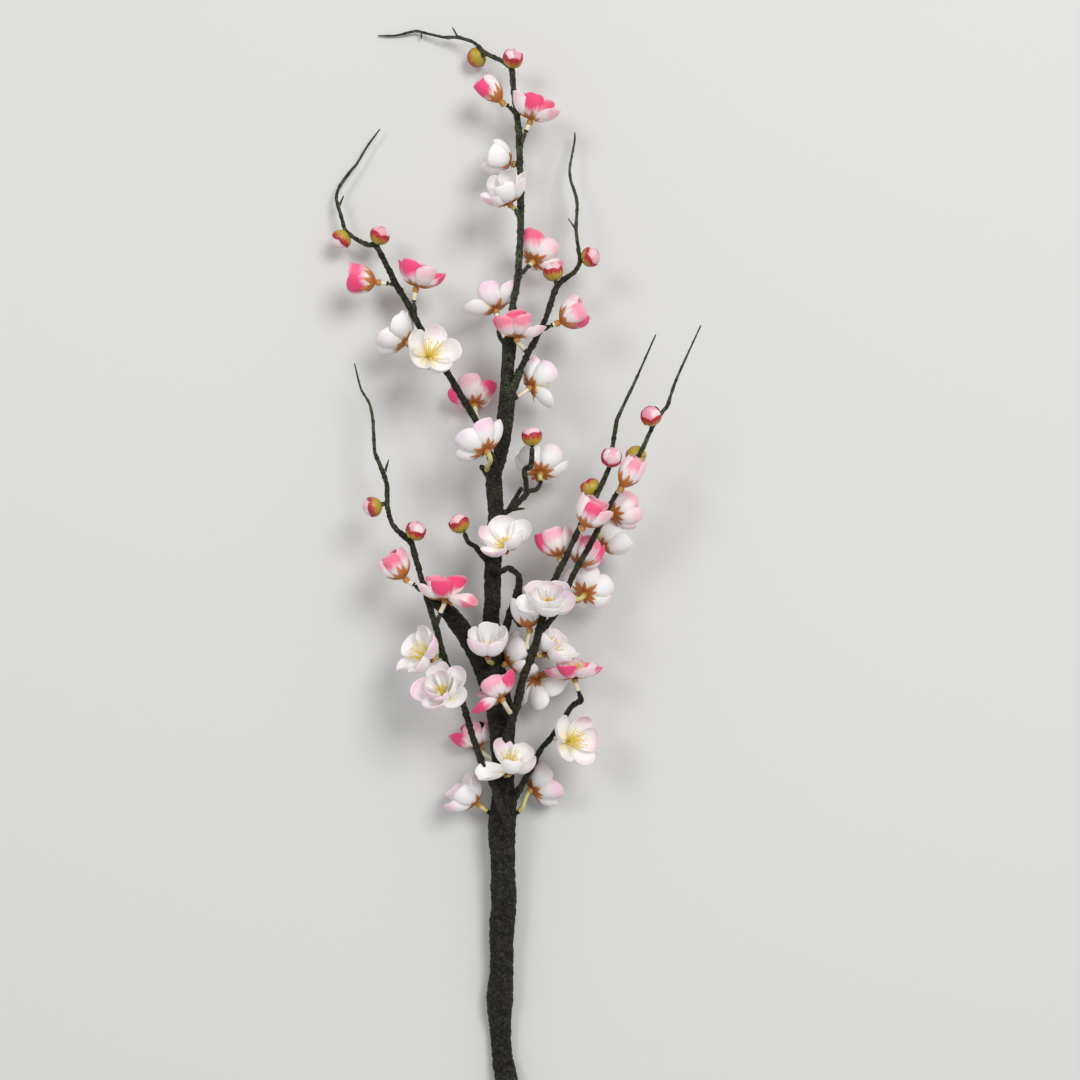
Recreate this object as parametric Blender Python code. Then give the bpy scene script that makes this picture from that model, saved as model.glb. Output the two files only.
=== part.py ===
import math
import random

import bmesh
import bpy
from mathutils import Matrix, Vector

# An artificial plum blossom branch that lies flat, with its stem toward -Y and its tips toward +Y.
# Its plan is drawn on squares of 0.75 mm, counted from the top left, as it is seen from an eye
# above the plan, so that what lies higher is drawn larger. Heights and radii are in mm.
millimetre = 0.001
plan_square = 0.75 * millimetre
plan_middle = (514.2, 563.5)
eye_plan = (540.0, 540.0)
eye_height = 1250.0

# Blossoms
petal_count = 5
petal_length = 23.5
petal_half_width = 11.0
petal_thickness = 0.75
petal_start = 1.2
petal_base_share = 0.34
petal_widest = 0.6
petal_roundness = 2.5
petal_cup = 1.1
petal_sector = math.radians(34)
petal_steps = 12
petal_tilt = (-10, 10)
petal_curl = (-8, 8)
petal_stretch = (0.93, 1.04)
inner_layer_scale = 0.8
inner_layer_steeper = 20.0
inner_layer_raised = 1.2
inner_layer_depth = 0.9
inner_layer_seed = 100
calyx_height = 2.4
neck_radius = 1.8
pedicel_radius = 1.35
stalk_steps = 4
stalk_pull = 0.38
stamen_count = 5
stamen_sides = 3
stamen_length = 12.0
stamen_radius = 0.55
stamen_tip_share = 0.6
stamen_root = 0.9
stamen_lean = (18, 34)
stamen_stretch = (0.85, 1.05)

# Buds: polar angles in degrees of each ring at the sepals' tips and dips, and whether it is on them
bud_radius = 6.6
bud_sepal_thickness = 0.7
bud_seat_share = 0.9
bud_rings = ((24, 24, True), (60, 50, True), (104, 72, True), (108, 77, False), (142, 138, False))

# Wood
trunk_sides = 10
twig_sides = 6
stub_sides = 5
stub_radius = 1.7
stub_length = 1.2
stub_least_angle = 50.0
socket_sides = 8
socket_length = 3.0
socket_extra = 0.7
seat_gap = 0.3
rest_clearance = 1.0
end_share = 0.99
same_distance = 0.001
sharp_edge = math.radians(40)

# Petal slopes in degrees above the plane across the blossom, at the petal's base and at its tip
petal_slopes = {"shut": (46, 112), "half": (28, 110), "cup": (10, 98), "open": (-4, 80), "double": (-6, 72)}

# Where a petal's corners lie, along it from its base and across it, and how its faces join them
petal_spots = {
    "low": (0.3, 0), "left": (0.64, 1), "centre": (0.62, 0), "right": (0.64, -1),
    "left_tip": (0.9, 0.95), "tip": (1.0, 0), "right_tip": (0.9, -0.95)}
notch_along = 0.2
petal_faces = [
    ("middle", "low", "left_notch"), ("middle", "right_notch", "low"),
    ("left_notch", "low", "left"), ("left", "low", "centre"),
    ("centre", "low", "right"), ("right", "low", "right_notch"),
    ("left", "centre", "left_tip"), ("left_tip", "centre", "tip"),
    ("tip", "centre", "right_tip"), ("right_tip", "centre", "right")]

# Each route is a list of points: plan x, plan y, height, radius
trunk_routes = {
    "trunk": [
        (506.5, 1099, 8.6, 8.9), (506, 1080, 8.3, 8.8), (502.6, 1057, 6.4, 7.6),
        (501, 1034, 6.5, 7.7), (499, 1009, 9.0, 8.9), (500, 1000, 9.8, 10.1),
        (501.5, 956, 11.5, 9.0), (503, 914, 14.0, 9.5), (503, 868, 17.0, 9.4),
        (502, 828, 20.0, 10.6), (503, 800, 22.0, 9.5), (504, 770, 24.5, 8.0),
        (501, 720, 28.5, 10.2), (494, 665, 32.5, 8.0), (491.5, 617, 35.5, 6.2),
        (493, 575, 38.0, 6.6), (495.5, 514, 41.5, 6.2), (494, 476, 43.5, 6.0),
        (500, 456, 44.5, 4.9), (505, 423, 45.5, 6.4), (506.5, 400, 46.0, 6.4),
        (507.5, 373, 46.0, 5.0), (511, 333, 45.0, 5.3)],
    "left_fork": [
        (496, 706, 29.0, 6.6), (482, 665, 32.0, 6.8), (466, 635, 34.0, 6.6),
        (447, 610, 36.0, 6.5), (428, 588, 37.5, 6.2)],
    "leader": [
        (510.8, 337, 45.0, 3.4), (513, 304, 44.5, 2.7), (518, 277, 43.5, 2.6), (521, 220, 40.5, 2.6),
        (520, 172, 37.0, 2.5), (519, 134, 34.0, 2.5), (517, 115, 32.0, 2.3), (513.7, 92, 29.0, 2.1),
        (511.6, 68, 25.5, 2.3), (502, 61, 23.0, 1.7), (486.5, 53.6, 19.5, 1.6), (473, 42, 15.5, 1.3),
        (457.8, 37.3, 11.5, 1.2), (444.4, 37.3, 8.5, 1.1), (427, 33.5, 5.5, 1.0),
        (415.7, 31, 4.0, 1.0), (396.5, 35.4, 2.5, 0.8), (377.4, 35.8, 1.5, 0.5)],
    "leader_thorn_a": [(457.8, 37, 11.5, 0.9), (452, 26.8, 12.5, 0.4)],
    "leader_thorn_b": [(421.4, 32, 4.6, 0.8), (421.4, 39.5, 4.4, 0.4)],
    "leader_twig_a": [(517, 115, 32.0, 1.8), (508.5, 106, 32.0, 1.5)],
    "leader_twig_b": [(519, 150, 35.0, 1.7), (525.7, 132, 36.0, 1.5)],
    "leader_twig_c": [(521, 220, 40.5, 1.8), (515, 209.5, 42.0, 1.5)],
    "leader_twig_d": [(521, 274, 43.5, 1.8), (528, 267, 41.0, 1.5)],
    "bent_twig": [
        (497, 516, 42.0, 2.4), (510, 510, 46.5, 2.2), (519.8, 501, 48.0, 2.2), (526.4, 494, 48.5, 2.1),
        (526.0, 483, 49.0, 2.0), (524.5, 470, 49.5, 2.0), (531.2, 465, 50.5, 2.0),
        (532.2, 447, 52.0, 1.8)],
    "bent_twig_fork": [(526.4, 492, 48.5, 1.9), (537, 489, 46.0, 1.8), (540.5, 483, 44.0, 1.5)],
    "bent_twig_stub": [(508, 511, 46.0, 2.0), (522, 487, 46.5, 1.6)],
    "bent_twig_thorn": [(512, 509.5, 47.0, 1.6), (525.5, 508.5, 46.0, 0.5)],
    "curled_twig": [
        (497, 668, 33.0, 3.2), (501, 645, 40.0, 3.1), (508, 621, 44.0, 3.0), (518.4, 590, 48.0, 2.9),
        (519, 576, 50.0, 2.4), (509, 568, 51.5, 2.1), (499.3, 572, 52.0, 2.1),
        (489, 563, 52.5, 2.0), (481, 554.6, 53.0, 2.0), (476, 547, 53.5, 2.0), (468, 542, 54.0, 1.8),
        (464, 532, 54.5, 1.7)],
    "curled_twig_stub": [(511, 612, 45.2, 2.4), (522, 627, 47.0, 2.2)],
    "crown_stub": [(493, 480, 44.0, 2.8), (480, 465, 46.5, 2.2)],
    "crown_twig": [(508, 347, 45.0, 2.0), (500, 338, 43.0, 1.7), (498, 328, 41.5, 1.5)],
    "low_twig": [
        (507, 812, 23.0, 3.2), (521, 787, 32.0, 2.5), (531.8, 768, 34.5, 2.3), (541, 749, 36.0, 2.2),
        (551.8, 737, 37.0, 2.2), (562, 722, 38.0, 2.1), (571, 707, 39.0, 2.1), (581, 700, 40.0, 2.4),
        (578.5, 692, 40.5, 1.6)],
}
left_spray_routes = {
    "left_spray": [
        (505, 818, 33.8, 2.6), (500, 806, 36.0, 2.7), (495.4, 790, 39.5, 2.6), (489.9, 779, 42.0, 2.5),
        (481, 760, 45.5, 2.5), (471.7, 734, 49.0, 2.4), (463, 704, 52.5, 2.4), (443, 654, 56.0, 2.3),
        (437.4, 632, 57.0, 2.3), (427.8, 601, 57.0, 2.3), (415, 556, 55.0, 2.1),
        (410.3, 542, 54.0, 2.4), (393, 525.5, 52.0, 1.9), (387.6, 508, 50.0, 1.8),
        (386.8, 485, 47.5, 1.8), (382.5, 471, 46.0, 1.7), (374.8, 452, 44.0, 1.4),
        (373, 421.6, 40.0, 1.2), (369.7, 404, 38.0, 1.0), (360.8, 388.5, 36.0, 0.9),
        (354.4, 363, 33.0, 0.5)],
    "left_thorn": [(384.5, 473, 46.2, 1.2), (389, 459, 46.5, 0.4)],
    "left_twig_a": [(421.8, 591.5, 56.5, 1.8), (414.5, 585, 56.5, 1.5)],
    "left_twig_b": [(436, 626, 57.0, 1.8), (440, 614, 59.0, 1.5)],
}
crown_left_routes = {
    "crown_left": [
        (490.5, 455, 48.0, 2.6), (478, 424, 47.5, 2.6), (457.7, 390, 45.5, 2.6), (444, 367, 43.5, 2.5),
        (430, 345, 41.0, 2.5), (419.5, 327, 39.0, 2.4), (408, 304, 36.0, 2.4), (396.5, 285, 33.0, 2.4),
        (385, 262, 29.0, 2.2), (375.5, 245, 25.0, 2.2), (367.8, 245, 23.0, 1.8),
        (352.5, 237, 19.0, 1.6), (345, 229.6, 17.0, 1.6), (341, 216, 14.5, 1.4),
        (336.3, 199, 12.0, 1.3), (339, 187.5, 10.5, 1.2), (350.6, 171, 9.0, 1.2),
        (356.4, 164.5, 8.5, 1.0), (367.8, 145.4, 7.5, 0.8), (380.3, 128.6, 7.0, 0.5)],
    "crown_left_thorn": [(339, 206.6, 13.0, 1.0), (343.9, 195, 13.0, 0.4)],
    "crown_left_twig_a": [(415.7, 320, 38.0, 1.7), (413.7, 302, 40.0, 1.4)],
    "crown_left_twig_b": [(396, 285, 33.0, 1.7), (388.5, 283.5, 33.0, 1.4)],
}
crown_right_routes = {
    "crown_right": [
        (520.5, 369.5, 51.2, 2.4), (526.6, 356, 52.0, 2.4), (536, 339, 51.5, 2.3),
        (546, 318, 50.0, 2.2), (557, 286, 46.0, 2.3), (574.5, 272, 42.0, 1.7), (580, 262, 40.0, 1.7),
        (578.3, 249, 36.5, 1.4), (576, 229, 32.0, 1.3), (577.3, 205, 27.0, 1.2), (575, 193, 24.0, 1.3),
        (570.6, 180, 21.0, 1.1), (569.7, 168, 18.0, 1.0), (574.5, 142, 13.0, 0.8),
        (575, 132, 11.0, 0.5)],
    "crown_right_thorn": [(575.6, 229, 32.0, 1.0), (567.8, 218, 32.0, 0.4)],
    "crown_right_twig_a": [(528, 355, 52.0, 1.7), (524.7, 350, 54.5, 1.5)],
    "crown_right_twig_b": [(542, 330, 51.0, 1.8), (551, 325.5, 51.0, 1.5)],
}
right_spray_routes = {
    "right_spray": [
        (509.5, 728, 43.0, 2.9), (515.7, 709, 46.5, 3.0), (520.4, 690, 49.5, 3.0),
        (523.3, 677, 52.0, 3.0), (532.9, 653, 56.5, 2.9), (538.3, 634, 60.0, 2.9),
        (546.5, 600, 66.0, 2.6), (557.7, 573, 69.0, 2.3), (564.4, 561, 70.0, 2.2),
        (576.8, 533.6, 72.0, 2.1), (587, 513, 73.0, 2.0), (596.4, 496, 73.5, 1.9),
        (608.9, 468, 74.0, 1.8), (612.7, 446, 73.5, 1.6), (616.8, 421, 72.5, 1.6),
        (624.2, 404, 71.5, 1.2), (635.7, 380, 70.0, 1.0), (656, 334, 67.0, 0.5)],
    "right_spray_fork": [
        (538.5, 633, 60.0, 2.5), (549, 622, 62.5, 2.5), (557.4, 610, 63.5, 2.4), (573.7, 574, 67.0, 2.3),
        (590, 545, 69.5, 2.2), (608, 508, 72.0, 2.0), (614.6, 497, 72.5, 1.9), (625, 480, 73.0, 1.8),
        (636.6, 460, 73.0, 1.8), (642.4, 449, 72.5, 1.6), (652, 428, 71.5, 1.6),
        (662.5, 411.6, 70.5, 1.4), (667.3, 406, 70.0, 1.4), (676, 380, 68.0, 1.0),
        (701, 325, 64.0, 0.5)],
}

# Spots inside the trunk from which each spray's wrapped socket comes out
socket_leads = {
    "left_spray": [(506, 832, 21.0)],
    "crown_left": [(496, 470, 44.0)],
    "crown_right": [(507, 409, 46.0), (512, 391, 49.0)],
    "right_spray": [(503, 746, 28.0)],
}
spray_routes = {**left_spray_routes, **crown_left_routes, **crown_right_routes, **right_spray_routes}
wood_nodes = {
    "trunk": trunk_routes,
    "left_spray": left_spray_routes,
    "crown_left_spray": crown_left_routes,
    "crown_right_spray": crown_right_routes,
    "right_spray": right_spray_routes,
}

# Each blossom: colour, form, wood it grows on, foot on that wood, calyx with its height,
# bearing and lift of its opening, turn of its first petal
blossoms = {
    "bloom_01": ("pink", "shut", "trunk", (508.5, 106), (502.5, 103, 32), (132, 4), 132),
    "bloom_02": ("pink", "cup", "trunk", (525.7, 132), (530, 121.5, 37), (76, 8), 256),
    "bloom_03": ("white", "cup", "trunk", (519.5, 165), (513, 164, 30), (160, 4), 340),
    "bloom_04": ("white", "cup", "trunk", (515, 209.5), (510, 204, 47), (112, 34), 292),
    "bloom_05": ("pink", "open", "trunk", (528, 267), (532.5, 262, 33), (60, -36), 60),
    "bloom_06": ("white", "open", "trunk", (498, 328), (496, 311, 38), (108, -12), 288),
    "bloom_07": ("pink", "cup", "crown_right_spray", (524.7, 350), (517, 339, 63), (98, 10), 94),
    "bloom_08": ("pink", "half", "crown_left_spray", (388.5, 283.5), (378, 282.5, 33), (172, 4), 172),
    "bloom_09": ("pink", "cup", "crown_left_spray", (413.7, 302), (416, 289, 42), (76, 6), 76),
    "bloom_10": ("white", "open", "crown_left_spray", (423, 333), (407, 343, 33), (138, -8), 138),
    "bloom_11": ("white", "open", "crown_left_spray", (439, 359), (427, 358, 54), (44, 54), 224),
    "bloom_12": ("pink", "open", "crown_left_spray", (479, 426), (475, 405, None), (101, -32), 281),
    "bloom_13": ("white", "double", "trunk", (488, 472), (487, 451.5, 74), (124, -18), 124),
    "bloom_14": ("pink", "half", "crown_right_spray", (551, 325.5), (558, 323, 51), (25, 2), 205),
    "bloom_15": ("white", "open", "trunk", (510, 404), (530, 388, 43), (42, -24), 222),
    "bloom_16": ("white", "open", "trunk", (540.5, 483), (540, 474, 38), (84, -44), 85),
    "bloom_17": ("white", "open", "trunk", (500, 552), (506, 549, 61), (100, 34), 100),
    "bloom_18": ("pink", "half", "left_spray", (413, 584), (406, 579.5, 56.5), (128, 2), 308),
    "bloom_19": ("pink", "open", "left_spray", (440, 614), (445, 600, 63), (88, 12), 268),
    "bloom_20": ("white", "open", "left_spray", (443, 655), (431, 659, 57), (146, 22), 146),
    "bloom_21": ("white", "double", "left_spray", (460, 697), (447, 697, 68), (120, 48), 110),
    "bloom_22": ("white", "cup", "trunk", (492, 668), (488, 656, 59), (88, 26), 88),
    "bloom_23": ("pink", "open", "right_spray", (513, 717), (502, 699, 60), (118, -2), 298),
    "bloom_24": ("pink", "cup", "trunk", (496, 768), (480, 743, None), (110, -4), 290),
    "bloom_25": ("white", "open", "trunk", (508, 778), (510, 771, 49), (84, 28), 264),
    "bloom_26": ("white", "cup", "trunk", (495, 822), (478, 804, 26), (134, 4), 314),
    "bloom_27": ("white", "open", "trunk", (551.8, 737), (566, 742, 50), (16, 48), 0),
    "bloom_28": ("pink", "open", "trunk", (578.5, 692), (575, 679, 44), (93, 5), 104),
    "bloom_29": ("white", "double", "right_spray", (543, 616), (548, 611, 76), (90, 38), 270),
    "bloom_30": ("white", "half", "right_spray", (531, 656), (529.5, 630, 57), (98, 4), 62),
    "bloom_31": ("white", "open", "right_spray", (561, 602), (584, 595, 43), (54, -54), 60),
    "bloom_32": ("pink", "half", "right_spray", (580, 527), (582.5, 528, 84), (62, 10), 242),
    "bloom_33": ("pink", "shut", "right_spray", (617, 493), (621, 489, 82), (62, 8), 242),
    "bloom_34": ("pink", "cup", "right_spray", (606, 512), (611, 515, 60), (24, -34), 35),
    "bloom_35": ("pink", "cup", "right_spray", (562, 566), (560, 558, 60), (106, -10), 286),
    "bloom_36": ("pink", "cup", "right_spray", (574, 573), (578, 566, 58.5), (60, -22), 240),
    "bloom_37": ("white", "cup", "right_spray", (598, 529), (600, 548, 43), (38, -12), 40),
    "bloom_38": ("white", "open", "right_spray", (532, 655), (545, 654, 43), (50, 6), 50),
    "bloom_39": ("white", "open", "right_spray", (524, 675), (538, 676, None), (-58, -24), -60),
    "bloom_40": ("white", "open", "trunk", (504, 824), (531, 788, 10), (30, -24), 30),
    "bloom_41": ("white", "open", "trunk", (496, 672), (506.3, 663.7, 41.4), (30, -10), 45),
}

# How many degrees each petal of a blossom stands further in than its form, in order from the first
petal_openings = {
    "bloom_01": (8, 6, -6, -4, 10),
    "bloom_02": (6, -38, 0, 4, -6),
    "bloom_04": (10, -4, 6, 4, -20),
    "bloom_06": (10, 2, 6, -10, -34),
    "bloom_07": (4, -12, 2, -4, -70),
    "bloom_08": (6, 0, 0, -8, 4),
    "bloom_09": (6, -4, 4, -4, -22),
    "bloom_11": (-4, 2, 8, 4, -6),
    "bloom_13": (-4, -8, 6, 8, 0),
    "bloom_15": (8, -64, -6, 4, 6),
    "bloom_17": (-6, 0, -14, 14, -2),
    "bloom_19": (14, -58, 2, -4, -10),
    "bloom_20": (0, 4, -14, -10, 8),
    "bloom_22": (4, 0, -8, -6, 2),
    "bloom_23": (14, 4, 0, -12, -46),
    "bloom_24": (10, -6, 0, 4, -24),
    "bloom_25": (16, 0, -4, -6, -66),
    "bloom_26": (6, 2, 0, -6, -20),
    "bloom_27": (14, 8, -8, -10, -2),
    "bloom_28": (-10, -26, -4, -8, -28),
    "bloom_29": (12, 0, -6, -8, -16),
    "bloom_32": (6, -14, 4, 0, 2),
    "bloom_38": (4, 10, -6, -24, -4),
}

# Blossoms that show their stamens
stamen_blossoms = {"bloom_04", "bloom_11", "bloom_17", "bloom_20", "bloom_21", "bloom_22", "bloom_25",
                   "bloom_27", "bloom_29"}

# Each bud: wood it grows on, foot on that wood, middle of the bud with its height
buds = {
    "bud_01": ("trunk", (486.5, 53.6), (477, 57.5, 10.5)),
    "bud_02": ("trunk", (511.6, 68), (513, 58, 32)),
    "bud_03": ("crown_left_spray", (348, 232.5), (341, 240, 17)),
    "bud_04": ("crown_left_spray", (375.5, 245), (380, 235, 28)),
    "bud_05": ("crown_right_spray", (557, 286), (553, 271, 48)),
    "bud_06": ("crown_right_spray", (580, 262), (591, 257, 43)),
    "bud_07": ("left_spray", (386, 503), (372, 507, 50)),
    "bud_08": ("left_spray", (410.3, 542), (416, 530.5, 57.5)),
    "bud_09": ("trunk", (464, 532), (459, 523, 55)),
    "bud_10": ("trunk", (532.2, 447), (532, 436, 53)),
    "bud_11": ("right_spray", (609.5, 466), (611.5, 457, 84)),
    "bud_12": ("right_spray", (652, 428), (651, 416, 80)),
    "bud_13": ("right_spray", (598, 493), (590.5, 488, 67)),
    "bud_14": ("right_spray", (638, 458), (636, 456, 63)),
}


def at(x, y, height):
    """A spot in metres, from where the plan shows it and how high it lies."""
    shrink = 1 - height / eye_height
    true_x = eye_plan[0] + (x - eye_plan[0]) * shrink
    true_y = eye_plan[1] + (y - eye_plan[1]) * shrink
    return Vector((
        (true_x - plan_middle[0]) * plan_square,
        (plan_middle[1] - true_y) * plan_square,
        height * millimetre))


def route_points(route):
    """A route's points in metres, each with its radius."""
    return [(at(x, y, height), radius * millimetre) for x, y, height, radius in route]


def heading(bearing, lift):
    """The way that points along a bearing, lifted from the plane, both in degrees."""
    return Vector((
        math.cos(math.radians(lift)) * math.cos(math.radians(bearing)),
        math.cos(math.radians(lift)) * math.sin(math.radians(bearing)),
        math.sin(math.radians(lift))))


def mesh_object(name, build):
    build.normal_update()
    bmesh.ops.recalc_face_normals(build, faces=build.faces)
    mesh = bpy.data.meshes.new(name)
    build.to_mesh(mesh)
    build.free()
    return bpy.data.objects.new(name, mesh)


def tube(name, points, sides, lowest=None):
    """A closed tube along the points, with its rings turned as little as they can be."""
    build = bmesh.new()
    rings = []
    tangent = (points[1][0] - points[0][0]).normalized()
    up = Vector((0, 0, 1)) if abs(tangent.z) < 0.9 else Vector((0, 1, 0))
    side = tangent.cross(up).normalized()
    for index, (middle, radius) in enumerate(points):
        before = points[max(index - 1, 0)][0]
        after = points[min(index + 1, len(points) - 1)][0]
        following = (after - before).normalized()
        side = tangent.rotation_difference(following) @ side
        tangent = following
        rise = side.cross(tangent).normalized()
        ring = []
        for step in range(sides):
            angle = 2 * math.pi * (step + 0.5) / sides + math.pi / 2
            spot = middle + (side * math.cos(angle) + rise * math.sin(angle)) * radius
            if lowest is not None:
                spot.z = max(spot.z, lowest)
            ring.append(build.verts.new(spot))
        rings.append(ring)
    for lower, upper in zip(rings, rings[1:]):
        for step in range(sides):
            follow = (step + 1) % sides
            build.faces.new((lower[step], lower[follow], upper[follow], upper[step]))
    build.faces.new(list(reversed(rings[0])))
    build.faces.new(rings[-1])
    return mesh_object(name, build)


def nearest_on(routes, x, y):
    """The spot on a node's routes nearest to a plan point: its radius, its run, whether it is an end."""
    wanted = Vector((x, y))
    best = None
    for route in routes.values():
        points = route_points(route)
        for index in range(len(route) - 1):
            start = Vector(route[index][:2])
            run = Vector(route[index + 1][:2]) - start
            share = max(0.0, min(1.0, (wanted - start).dot(run) / run.length_squared))
            distance = (start + run * share - wanted).length
            if best is None or distance < best[0] - same_distance:
                (low, low_radius), (high, high_radius) = points[index:index + 2]
                best = (distance, low.lerp(high, share), low_radius + (high_radius - low_radius) * share,
                        (high - low).normalized(), share > end_share and index == len(route) - 2)
    return best[1:]


def petal_profile(along):
    """The share of its greatest width that a petal has, along it from its base."""
    if along < petal_widest:
        swell = math.sin(along / petal_widest * math.pi / 2)
        return petal_base_share + (1 - petal_base_share) * swell
    beyond = (along - petal_widest) / (1 - petal_widest)
    return max(0.0, 1 - beyond ** petal_roundness) ** (1 / petal_roundness)


def petal_point(shape, along, across):
    """A spot on a petal: outward, sideways and along the blossom's axis, in metres."""
    first, last, length, half_width = shape
    outward = petal_start * millimetre
    rise = 0.0
    slope = math.radians(first)
    for step in range(petal_steps):
        share = along * (step + 0.5) / petal_steps
        slope = math.radians(first + (last - first) * share)
        outward += math.cos(slope) * length * along / petal_steps
        rise += math.sin(slope) * length * along / petal_steps
    half = half_width * petal_profile(along)
    bend = petal_cup * across
    sideways = half * math.sin(bend) / petal_cup
    lift = half * (1 - math.cos(bend)) / petal_cup
    outward -= math.sin(slope) * lift
    rise += math.cos(slope) * lift
    limit = max(outward, petal_start * millimetre) * math.tan(petal_sector)
    sideways = max(-limit, min(limit, sideways))
    return Vector((outward, sideways, rise))


def petal_sheet(build, form, seed, scale, turn, steeper, raised, openings):
    """Five petals as one thin sheet, joined round their middle."""
    chance = random.Random(seed)
    first, last = petal_slopes[form]
    middle = build.verts.new((0, 0, raised))
    petals = []
    for petal in range(petal_count):
        tilt = chance.uniform(*petal_tilt)
        if openings:
            tilt = openings[petal]
        curl = chance.uniform(*petal_curl)
        stretch = chance.uniform(*petal_stretch) * scale
        shape = (first + steeper + tilt / 2, last + steeper + tilt + curl,
                 petal_length * millimetre * stretch, petal_half_width * millimetre * scale)
        turned = Matrix.Rotation(2 * math.pi * petal / petal_count + turn, 3, "Z")
        row = {}
        for spot, (along, across) in petal_spots.items():
            place = turned @ petal_point(shape, along, across)
            row[spot] = build.verts.new(place + Vector((0, 0, raised)))
        petals.append((row, shape))
    notches = []
    for petal in range(petal_count):
        follow = (petal + 1) % petal_count
        mean = (petal_point(petals[petal][1], notch_along, 0)
                + petal_point(petals[follow][1], notch_along, 0)) / 2
        half_turn = Matrix.Rotation(2 * math.pi * (petal + 0.5) / petal_count + turn, 3, "Z")
        notches.append(build.verts.new(half_turn @ Vector((mean.x, 0, mean.z + raised))))
    for petal in range(petal_count):
        row = petals[petal][0]
        row["left_notch"] = notches[petal]
        row["right_notch"] = notches[petal - 1]
        row["middle"] = middle
        for corners in petal_faces:
            build.faces.new([row[spot] for spot in corners])
    build.verts.index_update()
    build.normal_update()


def blade(form, seed, base_depth, base_radius, openings=None, scale=1.0, turn=0.0, steeper=0.0,
          raised=0.0):
    """The petals as a closed blade whose underside narrows to a round neck of five corners."""
    sheet = bmesh.new()
    petal_sheet(sheet, form, seed, scale, turn, steeper, raised, openings)
    build = bmesh.new()
    half = petal_thickness * millimetre / 2
    upper = [build.verts.new(vert.co + vert.normal * half) for vert in sheet.verts]
    lower = [build.verts.new(vert.co - vert.normal * half) for vert in sheet.verts]
    for face in sheet.faces:
        spots = [vert.index for vert in face.verts]
        build.faces.new([upper[spot] for spot in spots])
        if 0 not in spots:
            build.faces.new([lower[spot] for spot in reversed(spots)])
    for edge in sheet.edges:
        if edge.is_boundary:
            loop = edge.link_loops[0]
            one = loop.vert.index
            two = loop.link_loop_next.vert.index
            build.faces.new((upper[one], lower[one], lower[two]))
            build.faces.new((upper[one], lower[two], upper[two]))
    sheet.free()
    build.verts.remove(lower[0])
    brim = lower[1:1 + petal_count * len(petal_spots):len(petal_spots)]
    dips = lower[1 + petal_count * len(petal_spots):]
    neck = []
    for petal in range(petal_count):
        angle = 2 * math.pi * petal / petal_count + turn
        neck.append(build.verts.new((base_radius * math.cos(angle), base_radius * math.sin(angle),
                                     -base_depth)))
    for petal in range(petal_count):
        follow = (petal + 1) % petal_count
        build.faces.new((neck[petal], dips[petal], brim[petal]))
        build.faces.new((neck[petal], neck[follow], dips[petal]))
        build.faces.new((neck[follow], brim[follow], dips[petal]))
    return build, neck


def add_stalk(build, neck, points):
    """A stalk of five sides that carries on from the neck along the spots and headings."""
    tangent = points[0][1]
    centre = sum((vert.co for vert in neck), Vector()) / len(neck)
    spokes = [(vert.co - centre).normalized() * pedicel_radius * millimetre for vert in neck]
    ring = neck
    for spot, following in points[1:]:
        turn = tangent.rotation_difference(following)
        spokes = [turn @ spoke for spoke in spokes]
        tangent = following
        fresh = [build.verts.new(spot + spoke) for spoke in spokes]
        for step in range(len(ring)):
            follow = (step + 1) % len(ring)
            build.faces.new((ring[step], fresh[follow], ring[follow]))
            build.faces.new((ring[step], fresh[step], fresh[follow]))
        ring = fresh
    build.faces.new(ring)


def stamens(name, seed, raised):
    """Leaning filaments that start below the middle of the petals."""
    chance = random.Random(seed)
    pieces = []
    for count in range(stamen_count):
        build = bmesh.new()
        length = stamen_length * millimetre * chance.uniform(*stamen_stretch)
        bmesh.ops.create_cone(
            build, cap_ends=True, cap_tris=True, segments=stamen_sides,
            radius1=stamen_radius * millimetre, radius2=stamen_tip_share * stamen_radius * millimetre,
            depth=length, matrix=Matrix.Translation((0, 0, length / 2)))
        lean = math.radians(chance.uniform(*stamen_lean))
        round_it = 2 * math.pi * count / stamen_count + chance.uniform(-0.3, 0.3)
        bmesh.ops.rotate(build, verts=build.verts, matrix=Matrix.Rotation(lean, 3, "Y"))
        bmesh.ops.rotate(build, verts=build.verts, matrix=Matrix.Rotation(round_it, 3, "Z"))
        bmesh.ops.translate(build, verts=build.verts,
                            vec=(0, 0, raised - stamen_root * millimetre))
        pieces.append(mesh_object(f"{name}_{count}", build))
    return pieces


def seat(host, foot, target):
    """Where a stalk meets its wood: the stub's two ends and the way it points."""
    spot, radius, run, at_end = nearest_on(wood_nodes[host], *foot)
    facing = (target - spot).normalized()
    reach = stub_length * millimetre
    if not at_end:
        along = facing.dot(run)
        across = (facing - run * along).normalized()
        steepest = math.cos(math.radians(stub_least_angle))
        along = max(-steepest, min(steepest, along))
        facing = across * math.sqrt(1 - along * along) + run * along
        reach = (radius + reach) / math.sqrt(1 - along * along)
    return spot, spot + facing * reach, facing


def stalk_points(start, facing, end, aim):
    """The stalk's curve from the neck down to its stub, as spots and headings."""
    pull = stalk_pull * (end - start).length
    corners = [end, end - aim * pull, start + facing * pull, start]
    points = []
    for step in range(stalk_steps + 1):
        share = step / stalk_steps
        one, two, three = (corners[k].lerp(corners[k + 1], share) for k in range(3))
        first, second = one.lerp(two, share), two.lerp(three, share)
        points.append((first.lerp(second, share), (second - first).normalized()))
    return points


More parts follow.
